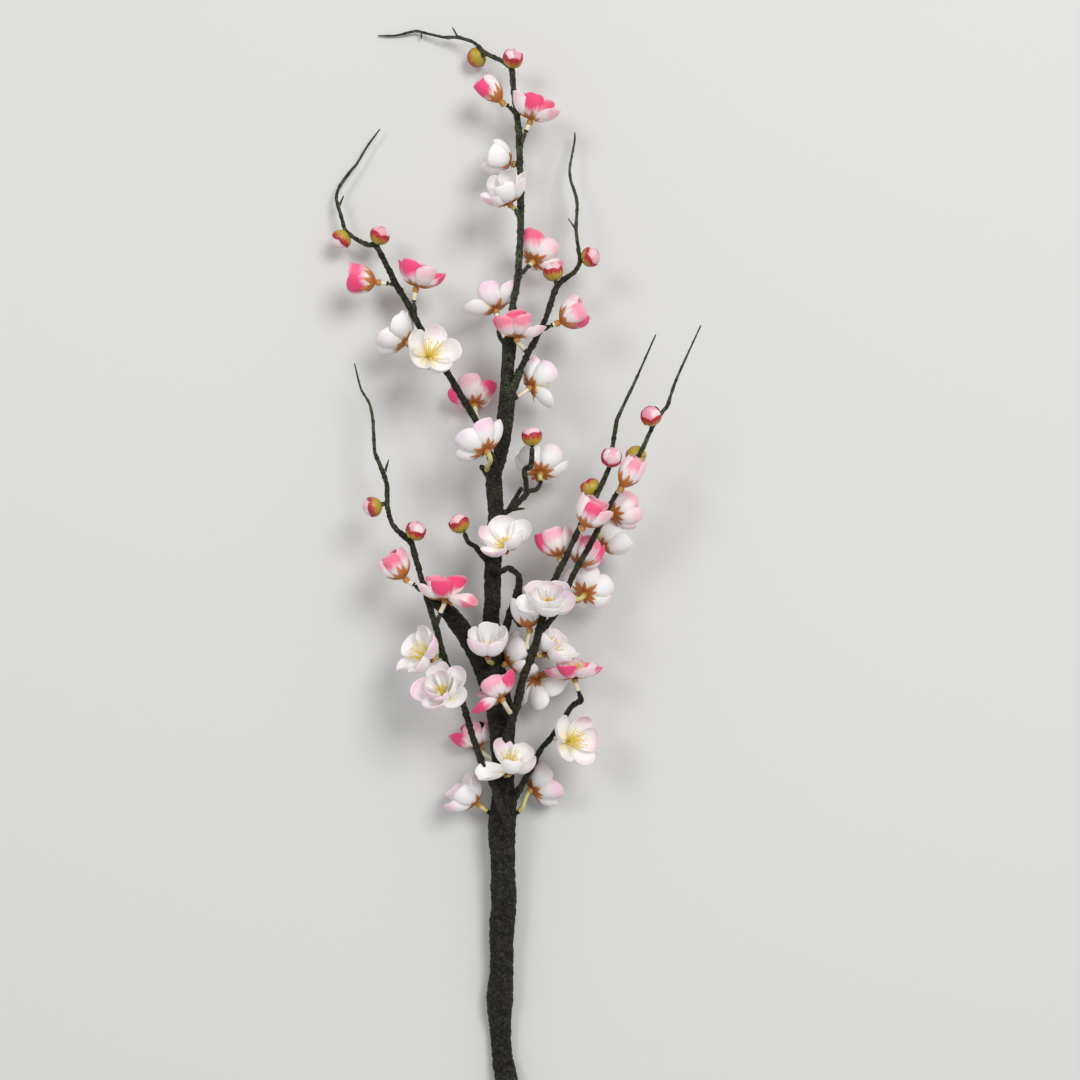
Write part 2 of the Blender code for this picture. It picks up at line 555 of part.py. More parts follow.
def joined(body, others):
    """One closed body of a piece and the pieces that cross it."""
    group = bpy.data.collections.new(body.name + "_pieces")
    bpy.context.scene.collection.children.link(group)
    for piece in others:
        group.objects.link(piece)
    union = body.modifiers.new("Union", "BOOLEAN")
    union.operation = "UNION"
    union.operand_type = "COLLECTION"
    union.collection = group
    union.solver = "EXACT"
    bpy.context.view_layer.update()
    evaluated = body.evaluated_get(bpy.context.evaluated_depsgraph_get())
    mesh = bpy.data.meshes.new_from_object(evaluated)
    body.modifiers.clear()
    body.data = mesh
    for piece in list(others):
        bpy.data.objects.remove(piece)
    bpy.data.collections.remove(group)
    return body


def material(name, colour, roughness, metallic=0.0):
    made = bpy.data.materials.new(name)
    made.use_nodes = True
    shader = made.node_tree.nodes["Principled BSDF"]
    shader.inputs["Base Color"].default_value = (*colour, 1.0)
    shader.inputs["Roughness"].default_value = roughness
    shader.inputs["Metallic"].default_value = metallic
    return made


def make_blossom(name, stubs):
    """A blossom of one body with its calyx and stalk, and the stub that its stalk meets."""
    colour, form, host, foot, place, (bearing, lift), first_petal = blossoms[name]
    seed = int(name.split("_")[1])
    aim = heading(bearing, lift)
    tilt_axis = Vector((0, 0, 1)).cross(heading(bearing, 0))
    turned = (Matrix.Rotation(math.radians(90 - lift), 3, tilt_axis)
              @ Matrix.Rotation(math.radians(first_petal), 3, "Z"))
    build, neck = blade(form, seed, calyx_height * millimetre, neck_radius * millimetre,
                        petal_openings.get(name))
    lowest = min((turned @ vert.co).z for vert in build.verts)
    base_drop = calyx_height * millimetre * aim
    if place[2] is None:
        middle = at(place[0], place[1], 0)
        middle.z = -lowest
    else:
        middle = at(*place) + base_drop
        middle.z = max(middle.z, rest_clearance * millimetre - lowest)
    base = middle - base_drop
    placed = Matrix.Translation(middle) @ turned.to_4x4()
    bmesh.ops.transform(build, matrix=placed, verts=build.verts)
    spot, stub_end, facing = seat(host, foot, base)
    stubs.setdefault(host, []).append((spot, stub_end))
    start = stub_end + facing * seat_gap * millimetre
    add_stalk(build, neck, stalk_points(start, facing, base, aim))
    body = mesh_object(name, build)
    extras = []
    tuft_height = 0.0
    if form == "double":
        tuft_height = inner_layer_raised * millimetre
        inner, inner_neck = blade(form, seed + inner_layer_seed, inner_layer_depth * millimetre,
                                  neck_radius * millimetre, None, inner_layer_scale,
                                  math.pi / petal_count, inner_layer_steeper, tuft_height)
        inner.faces.new(inner_neck)
        extras.append(mesh_object(name + "_inner", inner))
    if name in stamen_blossoms:
        extras += stamens(name + "_stamen", seed, tuft_height)
    for piece in extras:
        piece.data.transform(placed)
    bpy.context.scene.collection.objects.link(body)
    if extras:
        joined(body, extras)
    return body, colour


def make_bud(name, stubs):
    """A ball of petals with five pointed sepals round its lower half."""
    host, foot, place = buds[name]
    middle = at(*place)
    spot = nearest_on(wood_nodes[host], *foot)[0]
    aim = (middle - spot).normalized()
    ball = bud_radius * millimetre
    skin = bud_sepal_thickness * millimetre
    seat_height = bud_seat_share * ball
    stub_end = middle - aim * (seat_height + seat_gap * millimetre)
    stubs.setdefault(host, []).append((spot, stub_end))
    build = bmesh.new()
    rings = []
    sides = 2 * petal_count
    for angle_tip, angle_dip, on_sepals in bud_rings:
        distance = ball + skin if on_sepals else ball
        ring = []
        for step in range(sides):
            angle = math.radians(angle_dip if step % 2 else angle_tip)
            around = 2 * math.pi * step / sides
            across = math.sin(angle) * distance
            height = -math.cos(angle) * distance
            ring.append(build.verts.new((across * math.cos(around), across * math.sin(around), height)))
        rings.append(ring)
    for vert in rings[0]:
        vert.co.z = -seat_height
    top = build.verts.new((0, 0, ball))
    for lower, upper in zip(rings, rings[1:]):
        for step in range(sides):
            follow = (step + 1) % sides
            build.faces.new((lower[step], lower[follow], upper[follow]))
            build.faces.new((lower[step], upper[follow], upper[step]))
    for step in range(sides):
        build.faces.new((rings[-1][step], rings[-1][(step + 1) % sides], top))
    build.faces.new(rings[0])
    body = mesh_object(name, build)
    turned = Vector((0, 0, 1)).rotation_difference(aim).to_matrix().to_4x4()
    body.data.transform(Matrix.Translation(middle) @ turned)
    bpy.context.scene.collection.objects.link(body)
    return body


def socket(name):
    """The wrapped socket on the trunk that a spray's root end meets."""
    (root, radius), (following, _) = route_points(spray_routes[name])[:2]
    inward = (root - following).normalized()
    outer = root + inward * seat_gap * millimetre
    wide = radius + socket_extra * millimetre
    points = [(at(*lead), wide) for lead in socket_leads[name]]
    points += [(outer + inward * socket_length * millimetre, wide), (outer, wide)]
    return tube("socket_" + name, points, socket_sides)


def make_wood(name, stubs):
    """A trunk or a spray with its twigs, thorns, stubs and sockets as one body."""
    bodies = []
    for part_name, route in wood_nodes[name].items():
        thick = part_name == "trunk"
        bodies.append(tube(f"{name}_{part_name}", route_points(route),
                           trunk_sides if thick else twig_sides, 0.0 if thick else None))
    for count, ends in enumerate(stubs.get(name, [])):
        points = [(spot, stub_radius * millimetre) for spot in ends]
        bodies.append(tube(f"{name}_stub_{count}", points, stub_sides))
    if name == "trunk":
        bodies += [socket(spray) for spray in socket_leads]
    bodies[0].name = name
    bpy.context.scene.collection.objects.link(bodies[0])
    return joined(bodies[0], bodies[1:])


def finish(body, look):
    """Splits a body into triangles and gives it its look."""
    build = bmesh.new()
    build.from_mesh(body.data)
    bmesh.ops.triangulate(build, faces=build.faces)
    build.to_mesh(body.data)
    build.free()
    body.data.materials.clear()
    body.data.materials.append(look)
    body.data.shade_smooth()
    body.data.set_sharp_from_angle(angle=sharp_edge)


def main():
    for old in list(bpy.data.objects):
        bpy.data.objects.remove(old, do_unlink=True)
    looks = {
        "trunk": material("wrapped_bark", (0.050, 0.044, 0.036), 0.85),
        "spray": material("olive_twig", (0.048, 0.056, 0.034), 0.7),
        "pink": material("pink_petals", (0.86, 0.42, 0.56), 0.6),
        "white": material("white_petals", (0.90, 0.84, 0.86), 0.6),
        "bud": material("bud_sepals", (0.62, 0.12, 0.12), 0.5),
    }
    stubs = {}
    for name in blossoms:
        body, colour = make_blossom(name, stubs)
        finish(body, looks[colour])
    for name in buds:
        finish(make_bud(name, stubs), looks["bud"])
    for name in wood_nodes:
        finish(make_wood(name, stubs), looks["trunk" if name == "trunk" else "spray"])


main()
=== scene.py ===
import math
import random

import bpy
import numpy as np
from mathutils import Matrix, Vector


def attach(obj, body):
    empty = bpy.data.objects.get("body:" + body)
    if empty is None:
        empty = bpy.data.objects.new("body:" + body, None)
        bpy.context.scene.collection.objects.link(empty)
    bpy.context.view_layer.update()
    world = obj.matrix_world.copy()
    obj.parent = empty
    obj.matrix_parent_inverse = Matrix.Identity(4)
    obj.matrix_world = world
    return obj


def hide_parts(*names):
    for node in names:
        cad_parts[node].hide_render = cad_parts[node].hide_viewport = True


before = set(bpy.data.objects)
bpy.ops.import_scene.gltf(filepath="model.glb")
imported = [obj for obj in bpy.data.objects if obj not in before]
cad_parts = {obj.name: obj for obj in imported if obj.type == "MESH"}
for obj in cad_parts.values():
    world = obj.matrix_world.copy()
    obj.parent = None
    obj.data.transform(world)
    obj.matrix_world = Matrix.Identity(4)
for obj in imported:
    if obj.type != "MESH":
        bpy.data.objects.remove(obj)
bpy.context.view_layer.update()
print("the solids are loaded")

mm = 0.001
# the photo's plan: millimetres to a pixel, origin and camera in pixels, the camera's height in mm
plan = {"square": 0.75, "middle": (514.2, 563.5), "eye": (540.0, 540.0), "eyeHeight": 1250.0,
        "pixels": 1080}


# what keeps the random draws of each kind apart
seeds = {"petals": 500, "innerPetals": 100, "calyx": 900, "stamens": 300, "bud": 700, "wood": 40,
         "nextWood": 100}

# places and directions

def at(x, y, height):  # from a plan place, seen from the camera, to a place in metres
    shrink = 1 - height / plan["eyeHeight"]
    trueX = plan["eye"][0] + (x - plan["eye"][0]) * shrink
    trueY = plan["eye"][1] + (y - plan["eye"][1]) * shrink
    return Vector(((trueX - plan["middle"][0]) * plan["square"] * mm,
                   (plan["middle"][1] - trueY) * plan["square"] * mm, height * mm))


def heading(bearing, lift):
    turn, rise = math.radians(bearing), math.radians(lift)
    return Vector((math.cos(rise) * math.cos(turn), math.cos(rise) * math.sin(turn), math.sin(rise)))


# spot, radius and run of the wood nearest to a plan place, and whether the wood ends there
def nearestOn(routes, x, y):
    wanted = Vector((x, y))
    best = None
    for route in routes.values():
        points = [(at(*row[:3]), row[3] * mm) for row in route]
        for index in range(len(route) - 1):
            start = Vector(route[index][:2])
            run = Vector(route[index + 1][:2]) - start
            share = max(0.0, min(1.0, (wanted - start).dot(run) / run.length_squared))
            distance = (start + run * share - wanted).length
            if best is None or distance < best[0] - 0.001:
                low, high = points[index], points[index + 1]
                best = (distance, low[0].lerp(high[0], share), low[1] + (high[1] - low[1]) * share,
                        (high[0] - low[0]).normalized(), share > 0.99 and index == len(route) - 2)
    return best[1:]


def lumps(spots, size, seed):  # smooth noise from 0 to 1 over an array of spots
    table = np.random.default_rng(seed).random((32, 32, 32))
    place = spots / size
    cell = np.floor(place).astype(int)
    part = place - cell
    part = part * part * (3 - 2 * part)
    total = np.zeros(place.shape[:-1])
    for corner in range(8):
        step = np.array([corner & 1, corner >> 1 & 1, corner >> 2 & 1])
        share = np.where(step, part, 1 - part).prod(-1)
        index = (cell + step) % 32
        total += share * table[index[..., 0], index[..., 1], index[..., 2]]
    return total


def ridges(spots, size, seed):  # narrow crests between 0 and 1
    return np.clip(1 - 3.2 * np.abs(lumps(spots, size, seed) - 0.5), 0, 1)


def ease(low, high, value):  # a smooth step from 0 to 1
    share = np.clip((value - low) / (high - low), 0, 1)
    return share * share * (3 - 2 * share)


def unit(vectors):
    return vectors / np.maximum(np.linalg.norm(vectors, axis=-1, keepdims=True), 1e-12)


def fullTurn(sides):  # even angles once round
    return np.linspace(0, 2 * math.pi, sides, endpoint=False)


def towardRims(columns):  # from -1 to 1, closer together near both ends
    return np.sin(np.linspace(-1, 1, columns) * math.pi / 2)


# building meshes from grids of points

def newParts():  # what a piece is gathered in
    return {"spots": [], "faces": [], "looks": [], "marks": [], "count": 0}


def addMesh(parts, spots, faces, marks, look):
    parts["spots"].append(np.asarray(spots, float).reshape(-1, 3))
    parts["marks"].append(np.asarray(marks, float).reshape(-1, 3))
    start = parts["count"]
    parts["faces"] += [[start + corner for corner in face] for face in faces]
    parts["looks"] += [look] * len(faces)
    parts["count"] += len(parts["spots"][-1])


def gridFaces(rows, columns, start=0, closed=False, flip=False):
    faces = []
    for row in range(rows - 1):
        for column in range(columns if closed else columns - 1):
            follow = (column + 1) % columns
            face = [start + row * columns + column, start + row * columns + follow,
                    start + (row + 1) * columns + follow, start + (row + 1) * columns + column]
            faces.append(face[::-1] if flip else face)
    return faces


def addSheet(parts, grid, thickness, marks, look):  # a grid as a thin closed sheet
    rows, columns = grid.shape[:2]
    normal = unit(np.cross(np.gradient(grid, axis=1), np.gradient(grid, axis=0)))
    half = np.broadcast_to(thickness, grid.shape[:2])[..., None] / 2
    spots = np.concatenate([(grid + normal * half).reshape(-1, 3), (grid - normal * half).reshape(-1, 3)])
    count = rows * columns
    faces = gridFaces(rows, columns) + gridFaces(rows, columns, count, flip=True)
    rim = ([(0, column) for column in range(columns)] + [(row, columns - 1) for row in range(1, rows)]
           + [(rows - 1, column) for column in range(columns - 2, -1, -1)]
           + [(row, 0) for row in range(rows - 2, 0, -1)])
    edge = [row * columns + column for row, column in rim]
    for one, two in zip(edge, edge[1:] + edge[:1]):
        faces.append([two, one, one + count, two + count])
    outside = marks.reshape(-1, 3) + [0, 0, 2]  # the third mark tells the outer side apart
    addMesh(parts, spots, faces, np.concatenate([marks.reshape(-1, 3), outside]), look)


def addTube(parts, rings, marks, look):  # a closed tube whose ends are drawn to a point
    rows, columns = rings.shape[:2]
    spots = np.concatenate([rings.reshape(-1, 3), rings[0].mean(0)[None], rings[-1].mean(0)[None]])
    allMarks = np.concatenate([marks.reshape(-1, 3), marks[0].mean(0)[None], marks[-1].mean(0)[None]])
    faces = gridFaces(rows, columns, closed=True)
    last = rows * columns
    for column in range(columns):
        follow = (column + 1) % columns
        faces.append([last, follow, column])
        faces.append([last + 1, (rows - 1) * columns + column, (rows - 1) * columns + follow])
    addMesh(parts, spots, faces, allMarks, look)


def tubeRings(points, radii, sides):  # round rings along a line, without twist
    points = [Vector(p) for p in points]
    tangent = (points[1] - points[0]).normalized()
    up = Vector((0, 0, 1)) if abs(tangent.z) < 0.9 else Vector((0, 1, 0))
    side = tangent.cross(up).normalized()
    angles = fullTurn(sides)
    rings = []
    for index, middle in enumerate(points):
        following = (points[min(index + 1, len(points) - 1)] - points[max(index - 1, 0)]).normalized()
        side = (tangent.rotation_difference(following) @ side).normalized()
        tangent = following
        rise = side.cross(tangent).normalized()
        ring = np.outer(np.cos(angles), np.array(side)) + np.outer(np.sin(angles), np.array(rise))
        rings.append(np.array(middle) + ring * radii[index])
    return np.array(rings)


def makePiece(name, parts, node):
    spots = np.concatenate(parts["spots"])
    mesh = bpy.data.meshes.new(name)
    mesh.from_pydata(spots.tolist(), [], parts["faces"])
    mark = mesh.attributes.new("marks", "FLOAT_VECTOR", "POINT")
    mark.data.foreach_set("vector", np.concatenate(parts["marks"]).astype(np.float32).ravel())
    used = sorted(set(parts["looks"]))
    for look in used:
        mesh.materials.append(looks[look])
    numbers = [used.index(look) for look in parts["looks"]]
    mesh.polygons.foreach_set("material_index", numbers)
    mesh.shade_smooth()
    mesh.update()
    piece = bpy.data.objects.new(name, mesh)
    bpy.context.scene.collection.objects.link(piece)
    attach(piece, "root")
    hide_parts(node)
    return piece


# node groups that several finishes share

def newGroup(name, inputs, outputs):
    group = bpy.data.node_groups.new(name, "ShaderNodeTree")
    for label, kind, value in inputs:
        socket = group.interface.new_socket(label, in_out="INPUT", socket_type="NodeSocket" + kind)
        if value is not None:
            socket.default_value = value
    for label, kind in outputs:
        group.interface.new_socket(label, in_out="OUTPUT", socket_type="NodeSocket" + kind)
    return group, group.nodes.new("NodeGroupInput"), group.nodes.new("NodeGroupOutput")


def addNode(tree, kind, **settings):
    node = tree.nodes.new("ShaderNode" + kind)
    for key, value in settings.items():
        setattr(node, key, value)
    return node


def connect(tree, value, socket):  # a link from another node, or a plain value
    if isinstance(value, bpy.types.NodeSocket):
        tree.links.new(value, socket)
    elif value is not None:
        socket.default_value = value


def calculate(tree, operation, first, second=None, clamp=False):
    node = addNode(tree, "Math", operation=operation, use_clamp=clamp)
    connect(tree, first, node.inputs[0])
    connect(tree, second, node.inputs[1])
    return node.outputs[0]


def rampMask(tree, value, low, high):  # 0 below low, 1 above high
    node = addNode(tree, "MapRange", interpolation_type="SMOOTHSTEP")
    for label, given in (("Value", value), ("From Min", low), ("From Max", high)):
        connect(tree, given, node.inputs[label])
    return node.outputs["Result"]


def mixColours(tree, factor, first, second, blend="MIX"):
    node = addNode(tree, "Mix", data_type="RGBA", blend_type=blend)
    for index, value in ((0, factor), (6, first), (7, second)):
        connect(tree, value, node.inputs[index])
    return node.outputs[2]


def addNoise(tree, vector, scale=1.0, detail=2.0, roughness=0.5, distortion=0.0):
    node = addNode(tree, "TexNoise")
    for label, value in (("Vector", vector), ("Scale", scale), ("Detail", detail),
                         ("Roughness", roughness), ("Distortion", distortion)):
        connect(tree, value, node.inputs[label])
    return node.outputs[0]


def splitUp(tree, vector):
    node = addNode(tree, "SeparateXYZ")
    tree.links.new(vector, node.inputs[0])
    return node.outputs


def joinUp(tree, *values):
    node = addNode(tree, "CombineXYZ")
    for value, socket in zip(values, node.inputs):
        connect(tree, value, socket)
    return node.outputs[0]


def makeSpeckle():  # soft mottling between 0 and 1
    group, given, result = newGroup("speckle", [
        ("Vector", "Vector", None), ("Size", "Float", 4.0), ("Contrast", "Float", 1.0)],
        [("Mask", "Float")])
    size = calculate(group, "DIVIDE", 1000.0, given.outputs["Size"])
    noise = addNoise(group, given.outputs["Vector"], size, detail=5.0, roughness=0.6)
    centred = calculate(group, "SUBTRACT", noise, 0.5)
    stronger = calculate(group, "MULTIPLY", centred, given.outputs["Contrast"])
    group.links.new(calculate(group, "ADD", stronger, 0.5, clamp=True), result.inputs["Mask"])
    return group


def makeVeins():  # fine lines that run along a petal or a scale
    group, given, result = newGroup("veins", [
        ("Marks", "Vector", None), ("Fineness", "Float", 12.0), ("Stretch", "Float", 0.12)],
        [("Mask", "Float")])
    fineness = given.outputs["Fineness"]
    along, across, chance = splitUp(group, given.outputs["Marks"])
    stretched = calculate(group, "MULTIPLY", fineness, given.outputs["Stretch"])
    place = joinUp(group, calculate(group, "MULTIPLY", along, stretched),
                   calculate(group, "MULTIPLY", across, fineness),
                   calculate(group, "MULTIPLY", chance, 40.0))  # each petal has lines of its own
    noise = addNoise(group, place, detail=3.0)
    group.links.new(rampMask(group, noise, 0.38, 0.64), result.inputs["Mask"])
    return group


# how much each thing shifts or pales the blush of a petal
blush = {"patches": 2.2, "drift": 0.45, "veins": 0.05, "sides": 0.12, "reach": 0.22, "middling": 0.6,
         "outer": 0.06, "paleRim": 0.28}


def makeBlush():  # throat, middle and tip colours of a petal, paler on its outer side
    group, given, result = newGroup("blush", [
        ("Marks", "Vector", None), ("Veins", "Float", 0.0), ("Throat", "Color", None),
        ("Middle", "Color", None), ("Tip", "Color", None), ("Throat End", "Float", 0.4),
        ("Tip Start", "Float", 0.4), ("Tip Full", "Float", 0.9), ("Strength", "Float", 1.0),
        ("Outside", "Float", 0.8)], [("Color", "Color")])

    def plus(first, second):
        return calculate(group, "ADD", first, second)

    def less(first, second):
        return calculate(group, "SUBTRACT", first, second)

    def times(first, second):
        return calculate(group, "MULTIPLY", first, second)

    marks = given.outputs["Marks"]
    along, across, third = splitUp(group, marks)
    outer = calculate(group, "GREATER_THAN", third, 1.5)
    tint = less(third, times(outer, 2.0))
    drift = times(less(addNoise(group, marks, blush["patches"]), 0.5), blush["drift"])
    uneven = plus(plus(along, drift), times(given.outputs["Veins"], blush["veins"]))
    side = calculate(group, "POWER", calculate(group, "ABSOLUTE", across), 2.5)
    reach = times(less(tint, blush["middling"]), blush["reach"])  # a strong petal is blushed further down
    further = plus(less(uneven, times(side, blush["sides"])), reach)
    tipMask = rampMask(group, less(further, times(outer, blush["outer"])), given.outputs["Tip Start"],
                       given.outputs["Tip Full"])
    edge = calculate(group, "MAXIMUM", rampMask(group, side, 0.35, 1.0), rampMask(group, along, 0.86, 1.0))
    paleRim = less(1.0, times(edge, blush["paleRim"]))
    faded = less(1.0, times(outer, less(1.0, given.outputs["Outside"])))
    strength = times(times(tint, given.outputs["Strength"]), faded)
    tip = calculate(group, "MULTIPLY", times(tipMask, strength), paleRim, clamp=True)
    throat = less(1.0, rampMask(group, uneven, 0.02, given.outputs["Throat End"]))
    paler = mixColours(group, throat, given.outputs["Middle"], given.outputs["Throat"])
    group.links.new(mixColours(group, tip, paler, given.outputs["Tip"]), result.inputs["Color"])
    return group


def makeCrinkle():  # thin crossing creases of a wound wrap, as relief and as a mask for painted crease shade, in the wood's own straightened space
    group, given, result = newGroup("crinkle", [
        ("Marks", "Vector", None), ("Size", "Float", 1.2), ("Around", "Float", 3.0),
        ("Width", "Float", 0.12)], [("Height", "Float"), ("Crease Shade", "Float")])
    near = calculate(group, "DIVIDE", 1.0, given.outputs["Size"])
    wide = calculate(group, "DIVIDE", near, given.outputs["Around"])
    scale = joinUp(group, near, wide, wide)
    masks = []
    for lean, distortion in ((0.5, 1.6), (-0.7, 0.9)):
        tilt = addNode(group, "Mapping")
        tilt.inputs["Rotation"].default_value = (0.0, 0.0, lean)
        tilt.inputs["Location"].default_value = (lean * 30, 3.0, 8.0)
        group.links.new(given.outputs["Marks"], tilt.inputs["Vector"])
        place = addNode(group, "VectorMath", operation="MULTIPLY")
        group.links.new(tilt.outputs[0], place.inputs[0])
        group.links.new(scale, place.inputs[1])
        noise = addNoise(group, place.outputs[0], distortion=distortion)
        ridge = calculate(group, "ABSOLUTE", calculate(group, "SUBTRACT", noise, 0.5))
        thin = calculate(group, "DIVIDE", ridge, given.outputs["Width"])
        masks.append(calculate(group, "SUBTRACT", 1.0, thin, clamp=True))
    both = calculate(group, "MAXIMUM", *masks)
    group.links.new(both, result.inputs["Height"])
    # the crease mask is where the finish paints shade
    group.links.new(rampMask(group, both, 0.3, 0.9), result.inputs["Crease Shade"])
    return group


groups = {"speckle": makeSpeckle(), "veins": makeVeins(), "blush": makeBlush(), "crinkle": makeCrinkle()}


def useGroup(tree, name, **values):
    node = tree.nodes.new("ShaderNodeGroup")
    node.node_tree = groups[name]
    for label, value in values.items():
        connect(tree, value, node.inputs[label.replace("_", " ")])
    return node


def newFinish(name, **settings):
    made = bpy.data.materials.new(name)
    made.use_nodes = True
    shader = made.node_tree.nodes["Principled BSDF"]
    for label, value in settings.items():
        shader.inputs[label.replace("_", " ")].default_value = value
    return made, made.node_tree, shader


def readMarks(tree, name):
    return addNode(tree, "Attribute", attribute_name=name).outputs["Vector"]


def addBump(tree, shader, height, distance, strength):
    bump = addNode(tree, "Bump")
    bump.inputs["Strength"].default_value = strength
    bump.inputs["Distance"].default_value = distance
    tree.links.new(height, bump.inputs["Height"])
    tree.links.new(bump.outputs[0], shader.inputs["Normal"])


# petals: soft fabric with a cream throat and a blushed tip
petalFinishes = {
    "pinkPetal": {"throat": (0.90, 0.80, 0.62, 1), "middle": (0.94, 0.83, 0.84, 1),
                  "tip": (0.88, 0.065, 0.20, 1), "throatEnd": 0.3, "tipStart": 0.38, "tipFull": 0.74,
                  "strength": 1.15, "outside": 0.88},
    "whitePetal": {"throat": (0.94, 0.80, 0.42, 1), "middle": (0.905, 0.885, 0.885, 1),
                   "tip": (0.90, 0.55, 0.70, 1), "throatEnd": 0.42, "tipStart": 0.46, "tipFull": 0.98,
                   "strength": 0.95, "outside": 0.85},
    "budPetal": {"throat": (0.62, 0.03, 0.07, 1), "middle": (0.88, 0.28, 0.38, 1),
                 "tip": (0.94, 0.72, 0.74, 1), "throatEnd": 0.42, "tipStart": 0.34, "tipFull": 0.62,
                 "strength": 1.4, "outside": 1.0},
}


def makePetalFinish(name):
    own = petalFinishes[name]
    made, tree, shader = newFinish(name, Roughness=0.6, Subsurface_Weight=0.35, Subsurface_Scale=0.0012,
                                   Subsurface_Radius=(1.0, 0.8, 0.75), Sheen_Weight=0.15,
                                   Specular_IOR_Level=0.3)
    marks = readMarks(tree, "marks")
    veins = useGroup(tree, "veins", Marks=marks, Fineness=11.0, Stretch=0.16)
    colour = useGroup(tree, "blush", Marks=marks, Veins=veins.outputs[0], Throat=own["throat"],
                      Middle=own["middle"], Tip=own["tip"], Throat_End=own["throatEnd"],
                      Tip_Start=own["tipStart"], Tip_Full=own["tipFull"], Strength=own["strength"],
                      Outside=own["outside"])
    tree.links.new(colour.outputs["Color"], shader.inputs["Base Color"])
    addBump(tree, shader, veins.outputs[0], distance=0.00012, strength=0.6)
    return made


# moulded plastic: three colours from root to tip, the two stretches over which they change, and the finish
mouldedFinishes = {
    "calyx": {"colours": [(0.50, 0.33, 0.08, 1), (0.50, 0.145, 0.024, 1), (0.66, 0.24, 0.055, 1)],
              "edges": (0.02, 0.18, 0.4, 0.9), "roughness": 0.5, "streaks": 0.25, "glow": 0.0},
    "stalkCream": {"colours": [(0.80, 0.74, 0.52, 1), (0.84, 0.80, 0.62, 1), (0.70, 0.62, 0.36, 1)],
                   "edges": (0.1, 0.4, 0.8, 1.0), "roughness": 0.42, "streaks": 0.1, "glow": 0.2},
    "stalkGreen": {"colours": [(0.50, 0.46, 0.10, 1), (0.70, 0.66, 0.26, 1), (0.55, 0.50, 0.10, 1)],
                   "edges": (0.1, 0.4, 0.8, 1.0), "roughness": 0.42, "streaks": 0.1, "glow": 0.2},
    "filament": {"colours": [(0.96, 0.78, 0.16, 1), (0.99, 0.78, 0.06, 1), (1.0, 0.80, 0.09, 1)],
                 "edges": (0.1, 0.4, 0.6, 0.9), "roughness": 0.5, "streaks": 0.1, "glow": 0.2},
    "anther": {"colours": [(0.92, 0.70, 0.16, 1), (0.93, 0.76, 0.28, 1), (0.90, 0.62, 0.10, 1)],
               "edges": (0.1, 0.4, 0.6, 0.9), "roughness": 0.6, "streaks": 0.2, "glow": 0.0},
    "sepal": {"colours": [(0.46, 0.37, 0.035, 1), (0.52, 0.25, 0.03, 1), (0.43, 0.012, 0.03, 1)],
              "edges": (0.44, 0.64, 0.62, 0.8), "roughness": 0.38, "streaks": 0.18, "glow": 0.0},
}


def makeMouldedFinish(name):
    own = mouldedFinishes[name]
    root, middle, tip = own["colours"]
    made, tree, shader = newFinish(name, Roughness=own["roughness"], Subsurface_Weight=own["glow"],
                                   Subsurface_Scale=0.001)
    marks = readMarks(tree, "marks")
    place = addNode(tree, "TexCoord")
    veins = useGroup(tree, "veins", Marks=marks, Fineness=9.0, Stretch=0.2)
    spots = useGroup(tree, "speckle", Vector=place.outputs["Object"], Size=1.6, Contrast=2.0)
    shift = calculate(tree, "MULTIPLY", calculate(tree, "SUBTRACT", veins.outputs[0], 0.5), own["streaks"])
    along = calculate(tree, "ADD", splitUp(tree, marks)[0], shift)
    lower = mixColours(tree, rampMask(tree, along, *own["edges"][:2]), root, middle)
    colour = mixColours(tree, rampMask(tree, along, *own["edges"][2:]), lower, tip)
    grime = calculate(tree, "MULTIPLY", spots.outputs[0], 0.35)
    shade = mixColours(tree, grime, colour, (0.62, 0.50, 0.42, 1), "MULTIPLY")
    tree.links.new(shade, shader.inputs["Base Color"])
    addBump(tree, shader, veins.outputs[0], distance=0.0001, strength=0.5)
    return made


# wood: a dark crinkled wrap that turns olive on the sprays and green at their tips, with painted highlight
# on its raised crests and painted shade in its creases
woodFinishes = {
    # light: pale grain, and painted highlight where the relief is raised
    "wrappedBark": {"dark": (0.007, 0.006, 0.005, 1), "light": (0.047, 0.043, 0.031, 1),
                    # crease: painted shade where the creases lie
                    "crease": (0.004, 0.003, 0.003, 1), "size": 3.0, "around": 1.6, "width": 0.06,
                    "relief": 0.0011, "roughness": 0.7, "grain": 1.5},
    "oliveTwig": {"dark": (0.009, 0.008, 0.005, 1), "light": (0.055, 0.050, 0.028, 1),
                  "crease": (0.005, 0.004, 0.003, 1), "size": 2.2, "around": 1.3, "width": 0.07,
                  "relief": 0.0006, "roughness": 0.55, "grain": 1.2},
}
# each pair is darker then lighter; the lighter colour is pale grain and painted highlight on raised crests
youngColours = {"olive": [(0.010, 0.012, 0.006, 1), (0.074, 0.078, 0.038, 1)],
                "green": [(0.020, 0.030, 0.014, 1), (0.120, 0.150, 0.082, 1)]}


